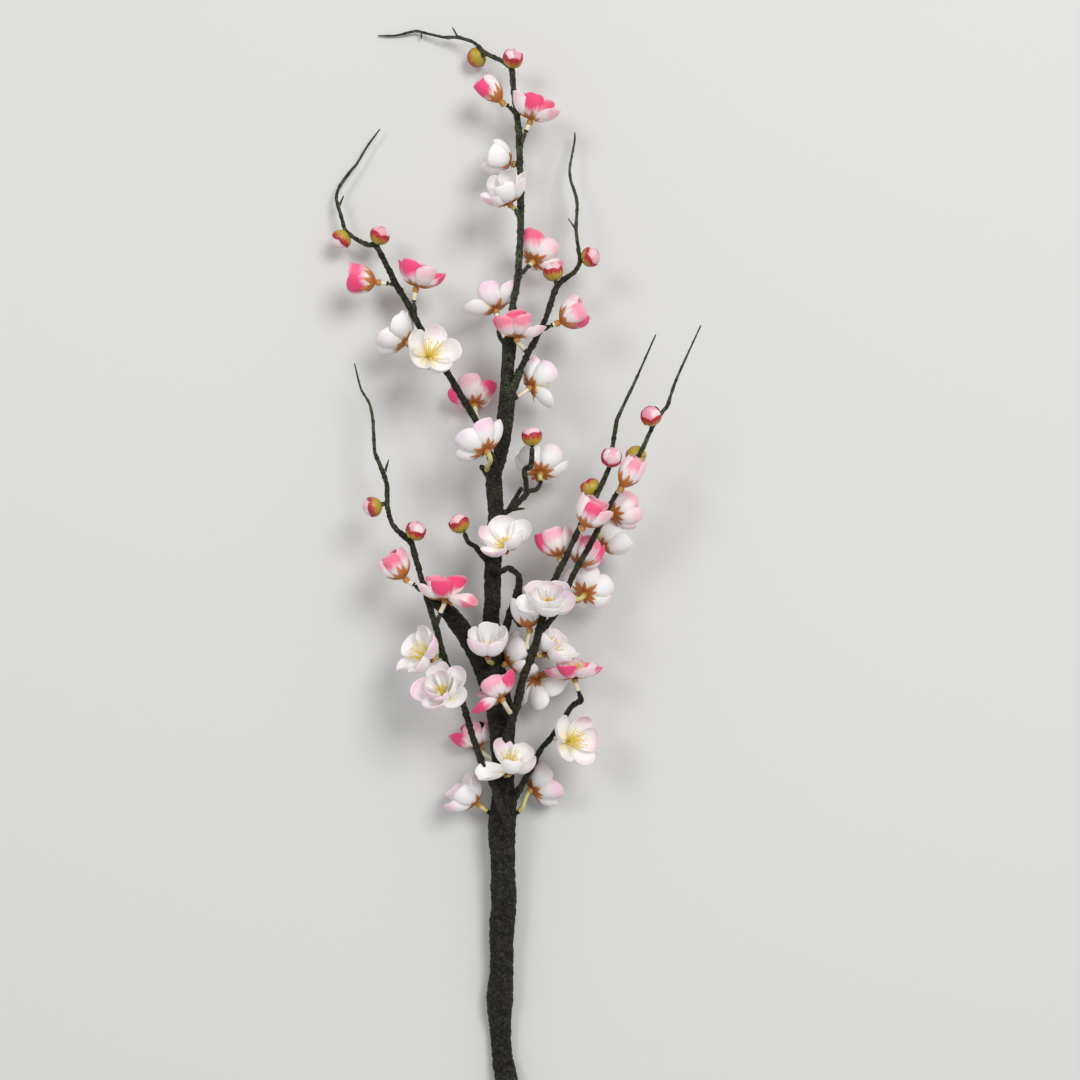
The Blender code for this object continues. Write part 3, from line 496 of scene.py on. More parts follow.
def makeWoodFinish(name):
    own = woodFinishes[name]
    made, tree, shader = newFinish(name, Roughness=own["roughness"], Specular_IOR_Level=0.3)
    place = addNode(tree, "TexCoord").outputs["Object"]
    # the crest of the relief, kept with the growth marks, is where highlight is painted
    young, crest = splitUp(tree, readMarks(tree, "growth"))[:2]
    wrinkles = useGroup(tree, "crinkle", Marks=readMarks(tree, "marks"), Size=own["size"],
                        Around=own["around"], Width=own["width"])
    patches = useGroup(tree, "speckle", Vector=place, Size=10.0, Contrast=2.2)
    grains = useGroup(tree, "speckle", Vector=place, Size=own["grain"], Contrast=3.2)
    # painted highlight: raised crests of the relief, with random grain, take the lighter colour
    raised = rampMask(tree, calculate(tree, "ADD", crest, grains.outputs[0]), 0.45, 1.45)
    base = mixColours(tree, raised, own["dark"], own["light"])
    olive = mixColours(tree, raised, *youngColours["olive"])
    green = mixColours(tree, raised, *youngColours["green"])
    mixed = calculate(tree, "ADD", young, calculate(tree, "SUBTRACT", patches.outputs[0], 0.5))
    first = mixColours(tree, rampMask(tree, mixed, 0.15, 0.7), base, olive)
    colour = mixColours(tree, rampMask(tree, mixed, 0.6, 1.1), first, green)
    older = calculate(tree, "SUBTRACT", 0.85, calculate(tree, "MULTIPLY", young, 0.5))
    creases = calculate(tree, "MULTIPLY", wrinkles.outputs["Crease Shade"], older)  # painted shade in the creases, which fades on young wood
    tree.links.new(mixColours(tree, creases, colour, own["crease"]), shader.inputs["Base Color"])
    rough = calculate(tree, "MULTIPLY", grains.outputs[0], 0.5)
    height = calculate(tree, "SUBTRACT", rough, wrinkles.outputs["Height"])
    addBump(tree, shader, height, own["relief"], strength=0.9)
    return made


looks = {name: makePetalFinish(name) for name in petalFinishes}
looks.update({name: makeMouldedFinish(name) for name in mouldedFinishes})
looks.update({name: makeWoodFinish(name) for name in woodFinishes})
print("the finishes are made")


# wood: routes, as the solids have them, with plan x and y in pixels, height and radius in mm
trunkRoutes = {
    "trunk": [
        (506.5, 1099, 8.6, 8.9), (506, 1080, 8.3, 8.8), (502.6, 1057, 6.4, 7.6),
        (501, 1034, 6.5, 7.7), (499, 1009, 9.0, 8.9), (500, 1000, 9.8, 10.1),
        (501.5, 956, 11.5, 9.0), (503, 914, 14.0, 9.5), (503, 868, 17.0, 9.4),
        (502, 828, 20.0, 10.6), (503, 800, 22.0, 9.5), (504, 770, 24.5, 8.0),
        (501, 720, 28.5, 10.2), (494, 665, 32.5, 8.0), (491.5, 617, 35.5, 6.2),
        (493, 575, 38.0, 6.6), (495.5, 514, 41.5, 6.2), (494, 476, 43.5, 6.0),
        (500, 456, 44.5, 4.9), (505, 423, 45.5, 6.4), (506.5, 400, 46.0, 6.4),
        (507.5, 373, 46.0, 5.0), (511, 333, 45.0, 5.3)],
    "leftFork": [
        (496, 706, 29.0, 6.6), (482, 665, 32.0, 6.8), (466, 635, 34.0, 6.6),
        (447, 610, 36.0, 6.5), (428, 588, 37.5, 6.2)],
    "leader": [
        (510.8, 337, 45.0, 3.4), (513, 304, 44.5, 2.7), (518, 277, 43.5, 2.6), (521, 220, 40.5, 2.6),
        (520, 172, 37.0, 2.5), (519, 134, 34.0, 2.5), (517, 115, 32.0, 2.3), (513.7, 92, 29.0, 2.1),
        (511.6, 68, 25.5, 2.3), (502, 61, 23.0, 1.7), (486.5, 53.6, 19.5, 1.6), (473, 42, 15.5, 1.3),
        (457.8, 37.3, 11.5, 1.2), (444.4, 37.3, 8.5, 1.1), (427, 33.5, 5.5, 1.0),
        (415.7, 31, 4.0, 1.0), (396.5, 35.4, 2.5, 0.8), (377.4, 35.8, 1.5, 0.5)],
    "leaderThornA": [(457.8, 37, 11.5, 0.9), (452, 26.8, 12.5, 0.4)],
    "leaderThornB": [(421.4, 32, 4.6, 0.8), (421.4, 39.5, 4.4, 0.4)],
    "leaderTwigA": [(517, 115, 32.0, 1.8), (508.5, 106, 32.0, 1.5)],
    "leaderTwigB": [(519, 150, 35.0, 1.7), (525.7, 132, 36.0, 1.5)],
    "leaderTwigC": [(521, 220, 40.5, 1.8), (515, 209.5, 42.0, 1.5)],
    "leaderTwigD": [(521, 274, 43.5, 1.8), (528, 267, 41.0, 1.5)],
    "bentTwig": [
        (497, 516, 42.0, 2.4), (510, 510, 46.5, 2.2), (519.8, 501, 48.0, 2.2), (526.4, 494, 48.5, 2.1),
        (526.0, 483, 49.0, 2.0), (524.5, 470, 49.5, 2.0), (531.2, 465, 50.5, 2.0),
        (532.2, 447, 52.0, 1.8)],
    "bentTwigFork": [(526.4, 492, 48.5, 1.9), (537, 489, 46.0, 1.8), (540.5, 483, 44.0, 1.5)],
    "bentTwigStub": [(508, 511, 46.0, 2.0), (522, 487, 46.5, 1.6)],
    "bentTwigThorn": [(512, 509.5, 47.0, 1.6), (525.5, 508.5, 46.0, 0.5)],
    "curledTwig": [
        (497, 668, 33.0, 3.2), (501, 645, 40.0, 3.1), (508, 621, 44.0, 3.0), (518.4, 590, 48.0, 2.9),
        (519, 576, 50.0, 2.4), (509, 568, 51.5, 2.1), (499.3, 572, 52.0, 2.1),
        (489, 563, 52.5, 2.0), (481, 554.6, 53.0, 2.0), (476, 547, 53.5, 2.0), (468, 542, 54.0, 1.8),
        (464, 532, 54.5, 1.7)],
    "curledTwigStub": [(511, 612, 45.2, 2.4), (522, 627, 47.0, 2.2)],
    "crownStub": [(493, 480, 44.0, 2.8), (480, 465, 46.5, 2.2)],
    "crownTwig": [(508, 347, 45.0, 2.0), (500, 338, 43.0, 1.7), (498, 328, 41.5, 1.5)],
    "lowTwig": [
        (507, 812, 23.0, 3.2), (521, 787, 32.0, 2.5), (531.8, 768, 34.5, 2.3), (541, 749, 36.0, 2.2),
        (551.8, 737, 37.0, 2.2), (562, 722, 38.0, 2.1), (571, 707, 39.0, 2.1), (581, 700, 40.0, 2.4),
        (578.5, 692, 40.5, 1.6)],
}

leftSprayRoutes = {
    "leftSpray": [
        (505, 818, 33.8, 2.6), (500, 806, 36.0, 2.7), (495.4, 790, 39.5, 2.6), (489.9, 779, 42.0, 2.5),
        (481, 760, 45.5, 2.5), (471.7, 734, 49.0, 2.4), (463, 704, 52.5, 2.4), (443, 654, 56.0, 2.3),
        (437.4, 632, 57.0, 2.3), (427.8, 601, 57.0, 2.3), (415, 556, 55.0, 2.1),
        (410.3, 542, 54.0, 2.4), (393, 525.5, 52.0, 1.9), (387.6, 508, 50.0, 1.8),
        (386.8, 485, 47.5, 1.8), (382.5, 471, 46.0, 1.7), (374.8, 452, 44.0, 1.4),
        (373, 421.6, 40.0, 1.2), (369.7, 404, 38.0, 1.0), (360.8, 388.5, 36.0, 0.9),
        (354.4, 363, 33.0, 0.5)],
    "leftThorn": [(384.5, 473, 46.2, 1.2), (389, 459, 46.5, 0.4)],
    "leftTwigA": [(421.8, 591.5, 56.5, 1.8), (414.5, 585, 56.5, 1.5)],
    "leftTwigB": [(436, 626, 57.0, 1.8), (440, 614, 59.0, 1.5)],
}

crownLeftRoutes = {
    "crownLeft": [
        (490.5, 455, 48.0, 2.6), (478, 424, 47.5, 2.6), (457.7, 390, 45.5, 2.6), (444, 367, 43.5, 2.5),
        (430, 345, 41.0, 2.5), (419.5, 327, 39.0, 2.4), (408, 304, 36.0, 2.4), (396.5, 285, 33.0, 2.4),
        (385, 262, 29.0, 2.2), (375.5, 245, 25.0, 2.2), (367.8, 245, 23.0, 1.8),
        (352.5, 237, 19.0, 1.6), (345, 229.6, 17.0, 1.6), (341, 216, 14.5, 1.4),
        (336.3, 199, 12.0, 1.3), (339, 187.5, 10.5, 1.2), (350.6, 171, 9.0, 1.2),
        (356.4, 164.5, 8.5, 1.0), (367.8, 145.4, 7.5, 0.8), (380.3, 128.6, 7.0, 0.5)],
    "crownLeftThorn": [(339, 206.6, 13.0, 1.0), (343.9, 195, 13.0, 0.4)],
    "crownLeftTwigA": [(415.7, 320, 38.0, 1.7), (413.7, 302, 40.0, 1.4)],
    "crownLeftTwigB": [(396, 285, 33.0, 1.7), (388.5, 283.5, 33.0, 1.4)],
}

crownRightRoutes = {
    "crownRight": [
        (520.5, 369.5, 51.2, 2.4), (526.6, 356, 52.0, 2.4), (536, 339, 51.5, 2.3),
        (546, 318, 50.0, 2.2), (557, 286, 46.0, 2.3), (574.5, 272, 42.0, 1.7), (580, 262, 40.0, 1.7),
        (578.3, 249, 36.5, 1.4), (576, 229, 32.0, 1.3), (577.3, 205, 27.0, 1.2), (575, 193, 24.0, 1.3),
        (570.6, 180, 21.0, 1.1), (569.7, 168, 18.0, 1.0), (574.5, 142, 13.0, 0.8),
        (575, 132, 11.0, 0.5)],
    "crownRightThorn": [(575.6, 229, 32.0, 1.0), (567.8, 218, 32.0, 0.4)],
    "crownRightTwigA": [(528, 355, 52.0, 1.7), (524.7, 350, 54.5, 1.5)],
    "crownRightTwigB": [(542, 330, 51.0, 1.8), (551, 325.5, 51.0, 1.5)],
}

rightSprayRoutes = {
    "rightSpray": [
        (509.5, 728, 43.0, 2.9), (515.7, 709, 46.5, 3.0), (520.4, 690, 49.5, 3.0),
        (523.3, 677, 52.0, 3.0), (532.9, 653, 56.5, 2.9), (538.3, 634, 60.0, 2.9),
        (546.5, 600, 66.0, 2.6), (557.7, 573, 69.0, 2.3), (564.4, 561, 70.0, 2.2),
        (576.8, 533.6, 72.0, 2.1), (587, 513, 73.0, 2.0), (596.4, 496, 73.5, 1.9),
        (608.9, 468, 74.0, 1.8), (612.7, 446, 73.5, 1.6), (616.8, 421, 72.5, 1.6),
        (624.2, 404, 71.5, 1.2), (635.7, 380, 70.0, 1.0), (656, 334, 67.0, 0.5)],
    "rightSprayFork": [
        (538.5, 633, 60.0, 2.5), (549, 622, 62.5, 2.5), (557.4, 610, 63.5, 2.4), (573.7, 574, 67.0, 2.3),
        (590, 545, 69.5, 2.2), (608, 508, 72.0, 2.0), (614.6, 497, 72.5, 1.9), (625, 480, 73.0, 1.8),
        (636.6, 460, 73.0, 1.8), (642.4, 449, 72.5, 1.6), (652, 428, 71.5, 1.6),
        (662.5, 411.6, 70.5, 1.4), (667.3, 406, 70.0, 1.4), (676, 380, 68.0, 1.0),
        (701, 325, 64.0, 0.5)],
}

# the way from the trunk's middle to each wrapped socket that holds a spray
socketLeads = {
    "leftSpray": [(506, 832, 21.0)],
    "crownLeft": [(496, 470, 44.0)],
    "crownRight": [(507, 409, 46.0), (512, 391, 49.0)],
    "rightSpray": [(503, 746, 28.0)],
}

# each wooden piece and the lines it is made of
woods = {"trunk": trunkRoutes, "left_spray": leftSprayRoutes, "crown_left_spray": crownLeftRoutes,
         "crown_right_spray": crownRightRoutes, "right_spray": rightSprayRoutes}

wood = {"ringStep": 0.8, "twigStep": 1.0, "trunkSides": 72, "forkSides": 64, "twigSides": 14,
        "roundFill": 0.97, "soft": 0.6, "rootReach": 1.4, "rootWidth": 0.25, "tipWidth": 0.2}
knots = {"start": (6, 14), "gaps": (9, 20), "lastGap": 4, "length": 1.1, "swell": 0.22}
stub = {"radius": 1.6, "waist": (0.6, 0.92), "rim": 1.08, "ridges": 1.6, "relief": 0.49}
spraySocket = {"extra": 0.7, "length": 3.0, "gap": 0.3, "root": 1.1}
# relief in mm, by the size and the height of its lumps, and the radius from which it is full
thickRelief = {"lumps": (8.0, 1.7), "folds": 2.3, "threads": 1.7, "wound": 12.0, "crest": 1.25, "full": 7}
thinRelief = {"lumps": (3.2, 0.6), "ridges": 1.5, "crest": 0.5, "full": 2.2}
# how young the wood looks: up the trunk, where the trunk is thin up there, and where a spray is thin
youth = {"least": 0.1, "upward": 0.35, "upwardPlaces": (-0.1, 0.16), "thin": 0.4,
         "thinPlaces": (0.0, 0.25), "thinRadii": (0.0016, 0.0075), "spray": 0.85,
         "sprayRadii": (0.0009, 0.0030)}


def smoothRoute(route, ringStep):  # spots and radii along a rounded line through the rows of a route
    points = np.array([[*at(*row[:3]), row[3] * mm] for row in route])
    if len(points) == 2:
        points = np.insert(points, 1, points.mean(0), axis=0)
    padded = np.concatenate([[2 * points[0] - points[1]], points, [2 * points[-1] - points[-2]]])
    spots = []
    for index in range(1, len(padded) - 2):
        p0, p1, p2, p3 = padded[index - 1:index + 3]
        count = max(2, int(np.linalg.norm((p2 - p1)[:3]) / (ringStep * mm)))
        for step in range(count):
            t = step / count
            soft = 0.5 * ((2 * p1) + (p2 - p0) * t + (2 * p0 - 5 * p1 + 4 * p2 - p3) * t * t
                          + (3 * p1 - p0 - 3 * p2 + p3) * t ** 3)
            spots.append(soft * wood["soft"] + (p1 + (p2 - p1) * t) * (1 - wood["soft"]))
    spots.append(padded[-2])
    spots = np.array(spots)
    spots[1:-1] = (spots[:-2] + 2 * spots[1:-1] + spots[2:]) / 4
    return spots[:, :3], spots[:, 3]


def youngness(spots, radii, node):  # 0 on old wood, 1 on the thinnest tips
    if node != "trunk":
        return youth["least"] + youth["spray"] * (1 - ease(*youth["sprayRadii"], radii))
    along = spots[:, 1]
    thin = 1 - ease(*youth["thinRadii"], radii)
    return (youth["least"] + youth["upward"] * ease(*youth["upwardPlaces"], along)
            + youth["thin"] * thin * ease(*youth["thinPlaces"], along))


def straighten(radii, arc, angles):  # the wood as if it were a straight rod, in mm
    return np.stack([arc, radii[:, None] * np.cos(angles) / mm, radii[:, None] * np.sin(angles) / mm], -1)


def addRings(parts, growth, spots, radii, rings, relief, straight, crest, node, look):
    rings = rings + unit(rings - spots[:, None, :]) * relief[..., None] * mm
    if node == "trunk":
        rings[..., 2] = np.maximum(rings[..., 2], 0.01 * mm)
    addTube(parts, rings, straight, look)
    # the crest goes to the finish, which paints highlight on it
    each = np.stack([youngness(spots, radii, node)[:, None] + 0 * crest, crest, 0 * crest], -1)
    growth.append(np.concatenate([each.reshape(-1, 3), each[0, :1], each[-1, :1]]))


def roundedEnd(distance, radii):  # the share of its width that a rod with a round end has there
    share = np.minimum(distance / np.maximum(radii, 1e-6), 1)
    return np.sqrt(np.clip(1 - (1 - share) ** 2, 0, 1))


def addWood(parts, growth, route, node, name, seed):
    thick = name in ("trunk", "leftFork")
    spots, radii = smoothRoute(route, wood["ringStep" if thick else "twigStep"])
    sides = {"trunk": wood["trunkSides"], "leftFork": wood["forkSides"]}.get(name, wood["twigSides"])
    length = np.concatenate([[0], np.cumsum(np.linalg.norm(np.diff(spots, axis=0), axis=1))])
    radii = radii * wood["roundFill"]
    if not thick:  # small knots where leaves once stood
        chance = random.Random(seed)
        place = chance.uniform(*knots["start"])
        while place * mm < length[-1] - knots["lastGap"] * mm:
            swell = np.exp(-((length / mm - place) / knots["length"]) ** 2)
            radii = radii * (1 + knots["swell"] * swell)
            place += chance.uniform(*knots["gaps"])
    head = roundedEnd(length, radii)
    if name in socketLeads:  # the root of a spray reaches into its socket
        spots[0] += (spots[0] - spots[1]) / np.linalg.norm(spots[0] - spots[1]) * wood["rootReach"] * mm
    elif name != "trunk":
        radii = radii * np.maximum(head, wood["rootWidth"])
    radii = radii * np.maximum(wood["tipWidth"], roundedEnd(length[-1] - length, radii))
    angles = fullTurn(sides)[None, :]
    arc = length[:, None] / mm + 0 * angles
    straight = straighten(radii, arc, angles)
    own = thickRelief if thick else thinRelief
    size, height = own["lumps"]
    if thick:  # lumps, slanting folds, fine threads and the edge of the wound band
        coarse = lumps(straight * [0.6, 1, 1], size, seed) - 0.5
        lean = straight + np.stack([0.5 * straight[..., 1], 0 * arc, 0 * arc], -1)
        folds = ridges(lean * [1, 0.4, 0.4], own["folds"], seed + 1)
        threads = ridges(straight * [0.8, 0.7, 0.7], own["threads"], seed + 2)
        wind = arc / own["wound"] + angles / (2 * math.pi) + 0.8 * coarse
        crest = 0.5 * folds + 0.35 * threads + 0.25 * np.exp(-(wind % 1) * 8)
    else:
        coarse = lumps(straight, size, seed) - 0.5
        crest = ridges(straight * [1, 0.7, 0.7], own["ridges"], seed + 1)
    relief = height * coarse + own["crest"] * (crest - 0.5)
    relief = relief * np.minimum(1, radii[:, None] / (own["full"] * mm))
    addRings(parts, growth, spots, radii, tubeRings(spots, radii, sides), relief, straight, crest, node,
             "wrappedBark" if thick else "oliveTwig")


def stubRows(node, stubs):  # spots and radii of the stubs that blossoms and buds sit on
    wide = stub["radius"] * mm
    halfway, waist = stub["waist"]
    return [[(spot, wide), (spot.lerp(end, halfway), wide * waist), (end, wide * stub["rim"])]
            for spot, end in stubs.get(node, [])]


def socketRows():  # spots and radii of the wrapped sockets that the sprays stand in
    rows = []
    for name, lead in socketLeads.items():
        spray = [routes[name] for routes in woods.values() if name in routes][0]
        root, following = at(*spray[0][:3]), at(*spray[1][:3])
        inward = (root - following).normalized()
        outer = root + inward * spraySocket["gap"] * mm
        wide = (spray[0][3] + spraySocket["extra"]) * mm
        rows.append([(at(*spot), wide * spraySocket["root"]) for spot in lead]
                    + [(outer + inward * spraySocket["length"] * mm, wide), (outer, wide)])
    return rows


def betweenRows(row, step):  # even spots and radii along a row of stops
    spots, radii = [], []
    for (start, startRadius), (end, endRadius) in zip(row, row[1:]):
        count = max(2, int((end - start).length / (step * mm)))
        for number in range(count):
            spots.append(start.lerp(end, number / count))
            radii.append(startRadius + (endRadius - startRadius) * number / count)
    return np.array(spots + [row[-1][0]]), np.array(radii + [row[-1][1]])


def makeWood(node, stubs):
    parts, growth = newParts(), []
    seed = seeds["wood"] + list(woods).index(node) * seeds["nextWood"]
    for index, (name, route) in enumerate(woods[node].items()):
        addWood(parts, growth, route, node, name, seed + index)
    bark = node == "trunk"
    look, slotName = ("wrappedBark", "wrapped_bark") if bark else ("oliveTwig", "olive_twig")
    sides, step = wood["twigSides"], wood["ringStep"]
    angles = fullTurn(sides)[None, :]
    for index, row in enumerate(stubRows(node, stubs) + (socketRows() if bark else [])):
        spots, radii = betweenRows(row, step)
        straight = straighten(radii, np.arange(len(spots))[:, None] * step + 0 * angles, angles)
        crest = ridges(straight + index * 7, stub["ridges"], 5)
        addRings(parts, growth, spots, radii, tubeRings(spots, radii, sides),
                 stub["relief"] * (crest - 0.5), straight, crest, node, look)
    piece = makePiece(node + "_fine", parts, node)
    layer = piece.data.attributes.new("growth", "FLOAT_VECTOR", "POINT")
    layer.data.foreach_set("vector", np.concatenate(growth).astype(np.float32).ravel())
    return piece


# blossoms: colour, form, what carries it, plan place of its foot, place of its calyx,
# (bearing, lift) of its axis, turn of its first petal
blossoms = {
    "bloom_01": ("pink", "shut", "trunk", (508.5, 106), (502.5, 103, 32), (132, 4), 132),
    "bloom_02": ("pink", "cup", "trunk", (525.7, 132), (530, 121.5, 37), (76, 8), 256),
    "bloom_03": ("white", "cup", "trunk", (519.5, 165), (513, 164, 30), (160, 4), 340),
    "bloom_04": ("white", "cup", "trunk", (515, 209.5), (510, 204, 47), (112, 34), 292),
    "bloom_05": ("pink", "open", "trunk", (528, 267), (532.5, 262, 33), (60, -36), 60),
    "bloom_06": ("white", "open", "trunk", (498, 328), (496, 311, 38), (108, -12), 288),
    "bloom_07": ("pink", "cup", "crown_right_spray", (524.7, 350), (517, 339, 63), (98, 10), 94),
    "bloom_08": ("pink", "half", "crown_left_spray", (388.5, 283.5), (378, 282.5, 33), (172, 4), 172),
    "bloom_09": ("pink", "cup", "crown_left_spray", (413.7, 302), (416, 289, 42), (76, 6), 76),
    "bloom_10": ("white", "open", "crown_left_spray", (423, 333), (407, 343, 33), (138, -8), 138),
    "bloom_11": ("white", "open", "crown_left_spray", (439, 359), (427, 358, 54), (44, 54), 224),
    "bloom_12": ("pink", "open", "crown_left_spray", (479, 426), (474.4, 405.4, 20.9), (101, -32), 281),
    "bloom_13": ("white", "double", "trunk", (488, 472), (487, 451.5, 74), (124, -18), 124),
    "bloom_14": ("pink", "half", "crown_right_spray", (551, 325.5), (558, 323, 51), (25, 2), 205),
    "bloom_15": ("white", "open", "trunk", (510, 404), (530, 388, 43), (42, -24), 222),
    "bloom_16": ("white", "open", "trunk", (540.5, 483), (540, 474, 38), (84, -44), 85),
    "bloom_17": ("white", "open", "trunk", (500, 552), (506, 549, 61), (100, 34), 100),
    "bloom_18": ("pink", "half", "left_spray", (413, 584), (406, 579.5, 56.5), (128, 2), 308),
    "bloom_19": ("pink", "open", "left_spray", (440, 614), (445, 600, 63), (88, 12), 268),
    "bloom_20": ("white", "open", "left_spray", (443, 655), (431, 659, 57), (146, 22), 146),
    "bloom_21": ("white", "double", "left_spray", (460, 697), (447, 697, 68), (120, 48), 110),
    "bloom_22": ("white", "cup", "trunk", (492, 668), (488, 656, 59), (88, 26), 88),
    "bloom_23": ("pink", "open", "right_spray", (513, 717), (502, 699, 60), (118, -2), 298),
    "bloom_24": ("pink", "cup", "trunk", (496, 768), (480.5, 748, 12.3), (110, -4), 290),
    "bloom_25": ("white", "open", "trunk", (508, 778), (510, 771, 49), (84, 28), 264),
    "bloom_26": ("white", "cup", "trunk", (495, 822), (478, 804, 26), (134, 4), 314),
    "bloom_27": ("white", "open", "trunk", (551.8, 737), (566, 742, 50), (16, 48), 0),
    "bloom_28": ("pink", "open", "trunk", (578.5, 692), (575, 679, 44), (93, 5), 104),
    "bloom_29": ("white", "double", "right_spray", (543, 616), (548, 611, 76), (90, 38), 270),
    "bloom_30": ("white", "half", "right_spray", (531, 656), (529.5, 630, 57), (98, 4), 62),
    "bloom_31": ("white", "open", "right_spray", (561, 602), (584, 595, 43), (54, -54), 60),
    "bloom_32": ("pink", "half", "right_spray", (580, 527), (582.5, 528, 84), (62, 10), 242),
    "bloom_33": ("pink", "shut", "right_spray", (617, 493), (621, 489, 82), (62, 8), 242),
    "bloom_34": ("pink", "cup", "right_spray", (606, 512), (611, 515, 60), (24, -34), 35),
    "bloom_35": ("pink", "cup", "right_spray", (562, 566), (560, 558, 60), (106, -10), 286),
    "bloom_36": ("pink", "cup", "right_spray", (574, 573), (578, 566, 58.5), (60, -22), 240),
    "bloom_37": ("white", "cup", "right_spray", (598, 529), (600, 548, 43), (38, -12), 40),
    "bloom_38": ("white", "open", "right_spray", (532, 655), (545, 654, 43), (50, 6), 50),
    "bloom_39": ("white", "open", "right_spray", (524, 675), (536.4, 676, 22.7), (-58, -24), -60),
    "bloom_40": ("white", "open", "trunk", (504, 824), (530.9, 790.5, 22.3), (30, -24), 30),
    "bloom_41": ("white", "open", "trunk", (496, 672), (506.3, 663.7, 41.4), (30, -10), 45),
}

# how many degrees each petal of a blossom stands further in than its form, from the first
petalOpenings = {
    "bloom_01": (8, 6, -6, -4, 10),
    "bloom_02": (6, -38, 0, 4, -6),
    "bloom_04": (10, -4, 6, 4, -20),
    "bloom_06": (10, 2, 6, -10, -34),
    "bloom_07": (4, -12, 2, -4, -70),
    "bloom_08": (6, 0, 0, -8, 4),
    "bloom_09": (6, -4, 4, -4, -22),
    "bloom_11": (-4, 2, 8, 4, -6),
    "bloom_13": (-4, -8, 6, 8, 0),
    "bloom_15": (8, -64, -6, 4, 6),
    "bloom_17": (-6, 0, -14, 14, -2),
    "bloom_19": (14, -58, 2, -4, -10),
    "bloom_20": (0, 4, -14, -10, 8),
    "bloom_22": (4, 0, -8, -6, 2),
    "bloom_23": (14, 4, 0, -12, -46),
    "bloom_24": (10, -6, 0, 4, -24),
    "bloom_25": (16, 0, -4, -6, -66),
    "bloom_26": (6, 2, 0, -6, -20),
    "bloom_27": (14, 8, -8, -10, -2),
    "bloom_28": (-10, -26, -4, -8, -28),
    "bloom_29": (12, 0, -6, -8, -16),
    "bloom_32": (6, -14, 4, 0, 2),
    "bloom_38": (4, 10, -6, -24, -4),
}

# how strongly each petal of a blossom is blushed, in the same order
petalTints = {
    "bloom_01": (0.5, 0.8, 1.0, 0.12, 0.3),
    "bloom_02": (1.0, 0.4, 0.9, 0.8, 0.2),
    "bloom_03": (0.05, 0.1, 0.2, 0.6, 0.3),
    "bloom_04": (0.1, 0.5, 0.1, 0.2, 0.9),
    "bloom_05": (0.5, 1.0, 0.8, 0.3, 0.6),
    "bloom_06": (0.9, 0.7, 0.2, 0.1, 0.1),
    "bloom_07": (0.9, 1.0, 0.7, 0.65, 0.3),
    "bloom_08": (0.7, 0.5, 1.0, 0.8, 0.6),
    "bloom_09": (0.8, 0.9, 0.95, 0.3, 0.95),
    "bloom_10": (0.1, 0.5, 0.4, 0.0, 0.1),
    "bloom_11": (0.8, 0.3, 0.4, 0.6, 0.1),
    "bloom_12": (0.35, 0.9, 0.7, 0.8, 1.0),
    "bloom_13": (0.3, 0.5, 0.6, 0.9, 0.4),
    "bloom_14": (0.6, 1.0, 0.8, 0.7, 0.3),
    "bloom_15": (0.7, 0.0, 0.1, 0.2, 0.9),
    "bloom_17": (0.3, 1.0, 0.9, 0.1, 0.2),
    "bloom_18": (0.75, 0.5, 1.0, 0.9, 0.3),
    "bloom_19": (1.0, 0.75, 1.0, 0.8, 0.2),
    "bloom_20": (0.2, 0.6, 0.7, 0.9, 0.3),
    "bloom_21": (0.4, 0.9, 0.8, 0.2, 0.6),
    "bloom_22": (0.1, 0.2, 0.7, 0.5, 0.3),
    "bloom_23": (0.5, 1.0, 0.3, 0.5, 1.0),
    "bloom_24": (0.45, 0.4, 0.6, 0.7, 1.0),
    "bloom_25": (0.05, 0.6, 0.3, 0.9, 0.0),
    "bloom_26": (0.15, 0.5, 0.4, 0.8, 0.9),
    "bloom_27": (0.8, 0.95, 0.1, 0.15, 0.5),
    "bloom_28": (0.3, 0.7, 0.95, 0.2, 0.9),
    "bloom_29": (0.0, 0.9, 0.5, 0.6, 0.1),
    "bloom_32": (0.85, 0.35, 0.6, 0.5, 0.15),
    "bloom_33": (0.6, 0.3, 0.8, 0.6, 0.2),
    "bloom_34": (0.25, 0.5, 0.4, 0.3, 0.35),
    "bloom_35": (0.45, 0.3, 0.8, 0.9, 1.0),
    "bloom_36": (0.7, 0.95, 0.8, 0.9, 0.6),
}

# petals: lengths in mm, angles in degrees, shares of the length or the width
petal = {"count": 5, "length": 24.0, "halfWidth": 12.4, "baseShare": 0.28, "widest": 0.58, "spoon": 1.12,
         "roundness": 2.15, "start": 1.2, "cupOver": 1.25, "cupUnder": 1.08, "bowl": 1.2, "sector": 45,
         "thickness": 0.3, "thinRim": 0.6, "rows": 16, "columns": 16, "lap": 0.5, "whiteSize": 1.06,
         "wave": 0.4, "notch": 0.1, "notchWidth": 0.2, "creaseWidth": 0.16, "lipStart": 0.74,
         "foldedShare": 0.15, "lapSpan": (0.1, 0.5), "creaseSpan": (0.2, 0.9), "rollSpan": (0.15, 0.6)}
# what differs from petal to petal: the ranges that seeded draws take it from
petalHabits = {"tilt": (-10, 10), "curl": (-8, 8), "stretch": (0.93, 1.04), "lip": (-5, 26),
               "foldedLip": (-40, -15), "lean": (-4, 4), "notchAt": (-0.2, 0.2), "cup": (0.88, 1.12),
               "waves": (2, 4), "phase": (0, 6.28), "crease": (-0.5, 0.4), "tint": (0.3, 1.0),
               "roll": (-9, 9), "width": (0.95, 1.06), "swing": (-4, 4)}
# slope of a petal at its root and at its tip
petalSlopes = {"shut": (46, 112), "half": (28, 110), "cup": (10, 98), "open": (-4, 80), "double": (-6, 72)}
innerLayer = {"scale": 0.8, "steeper": 20.0, "raised": 1.2}
closedForms = ("half", "shut")


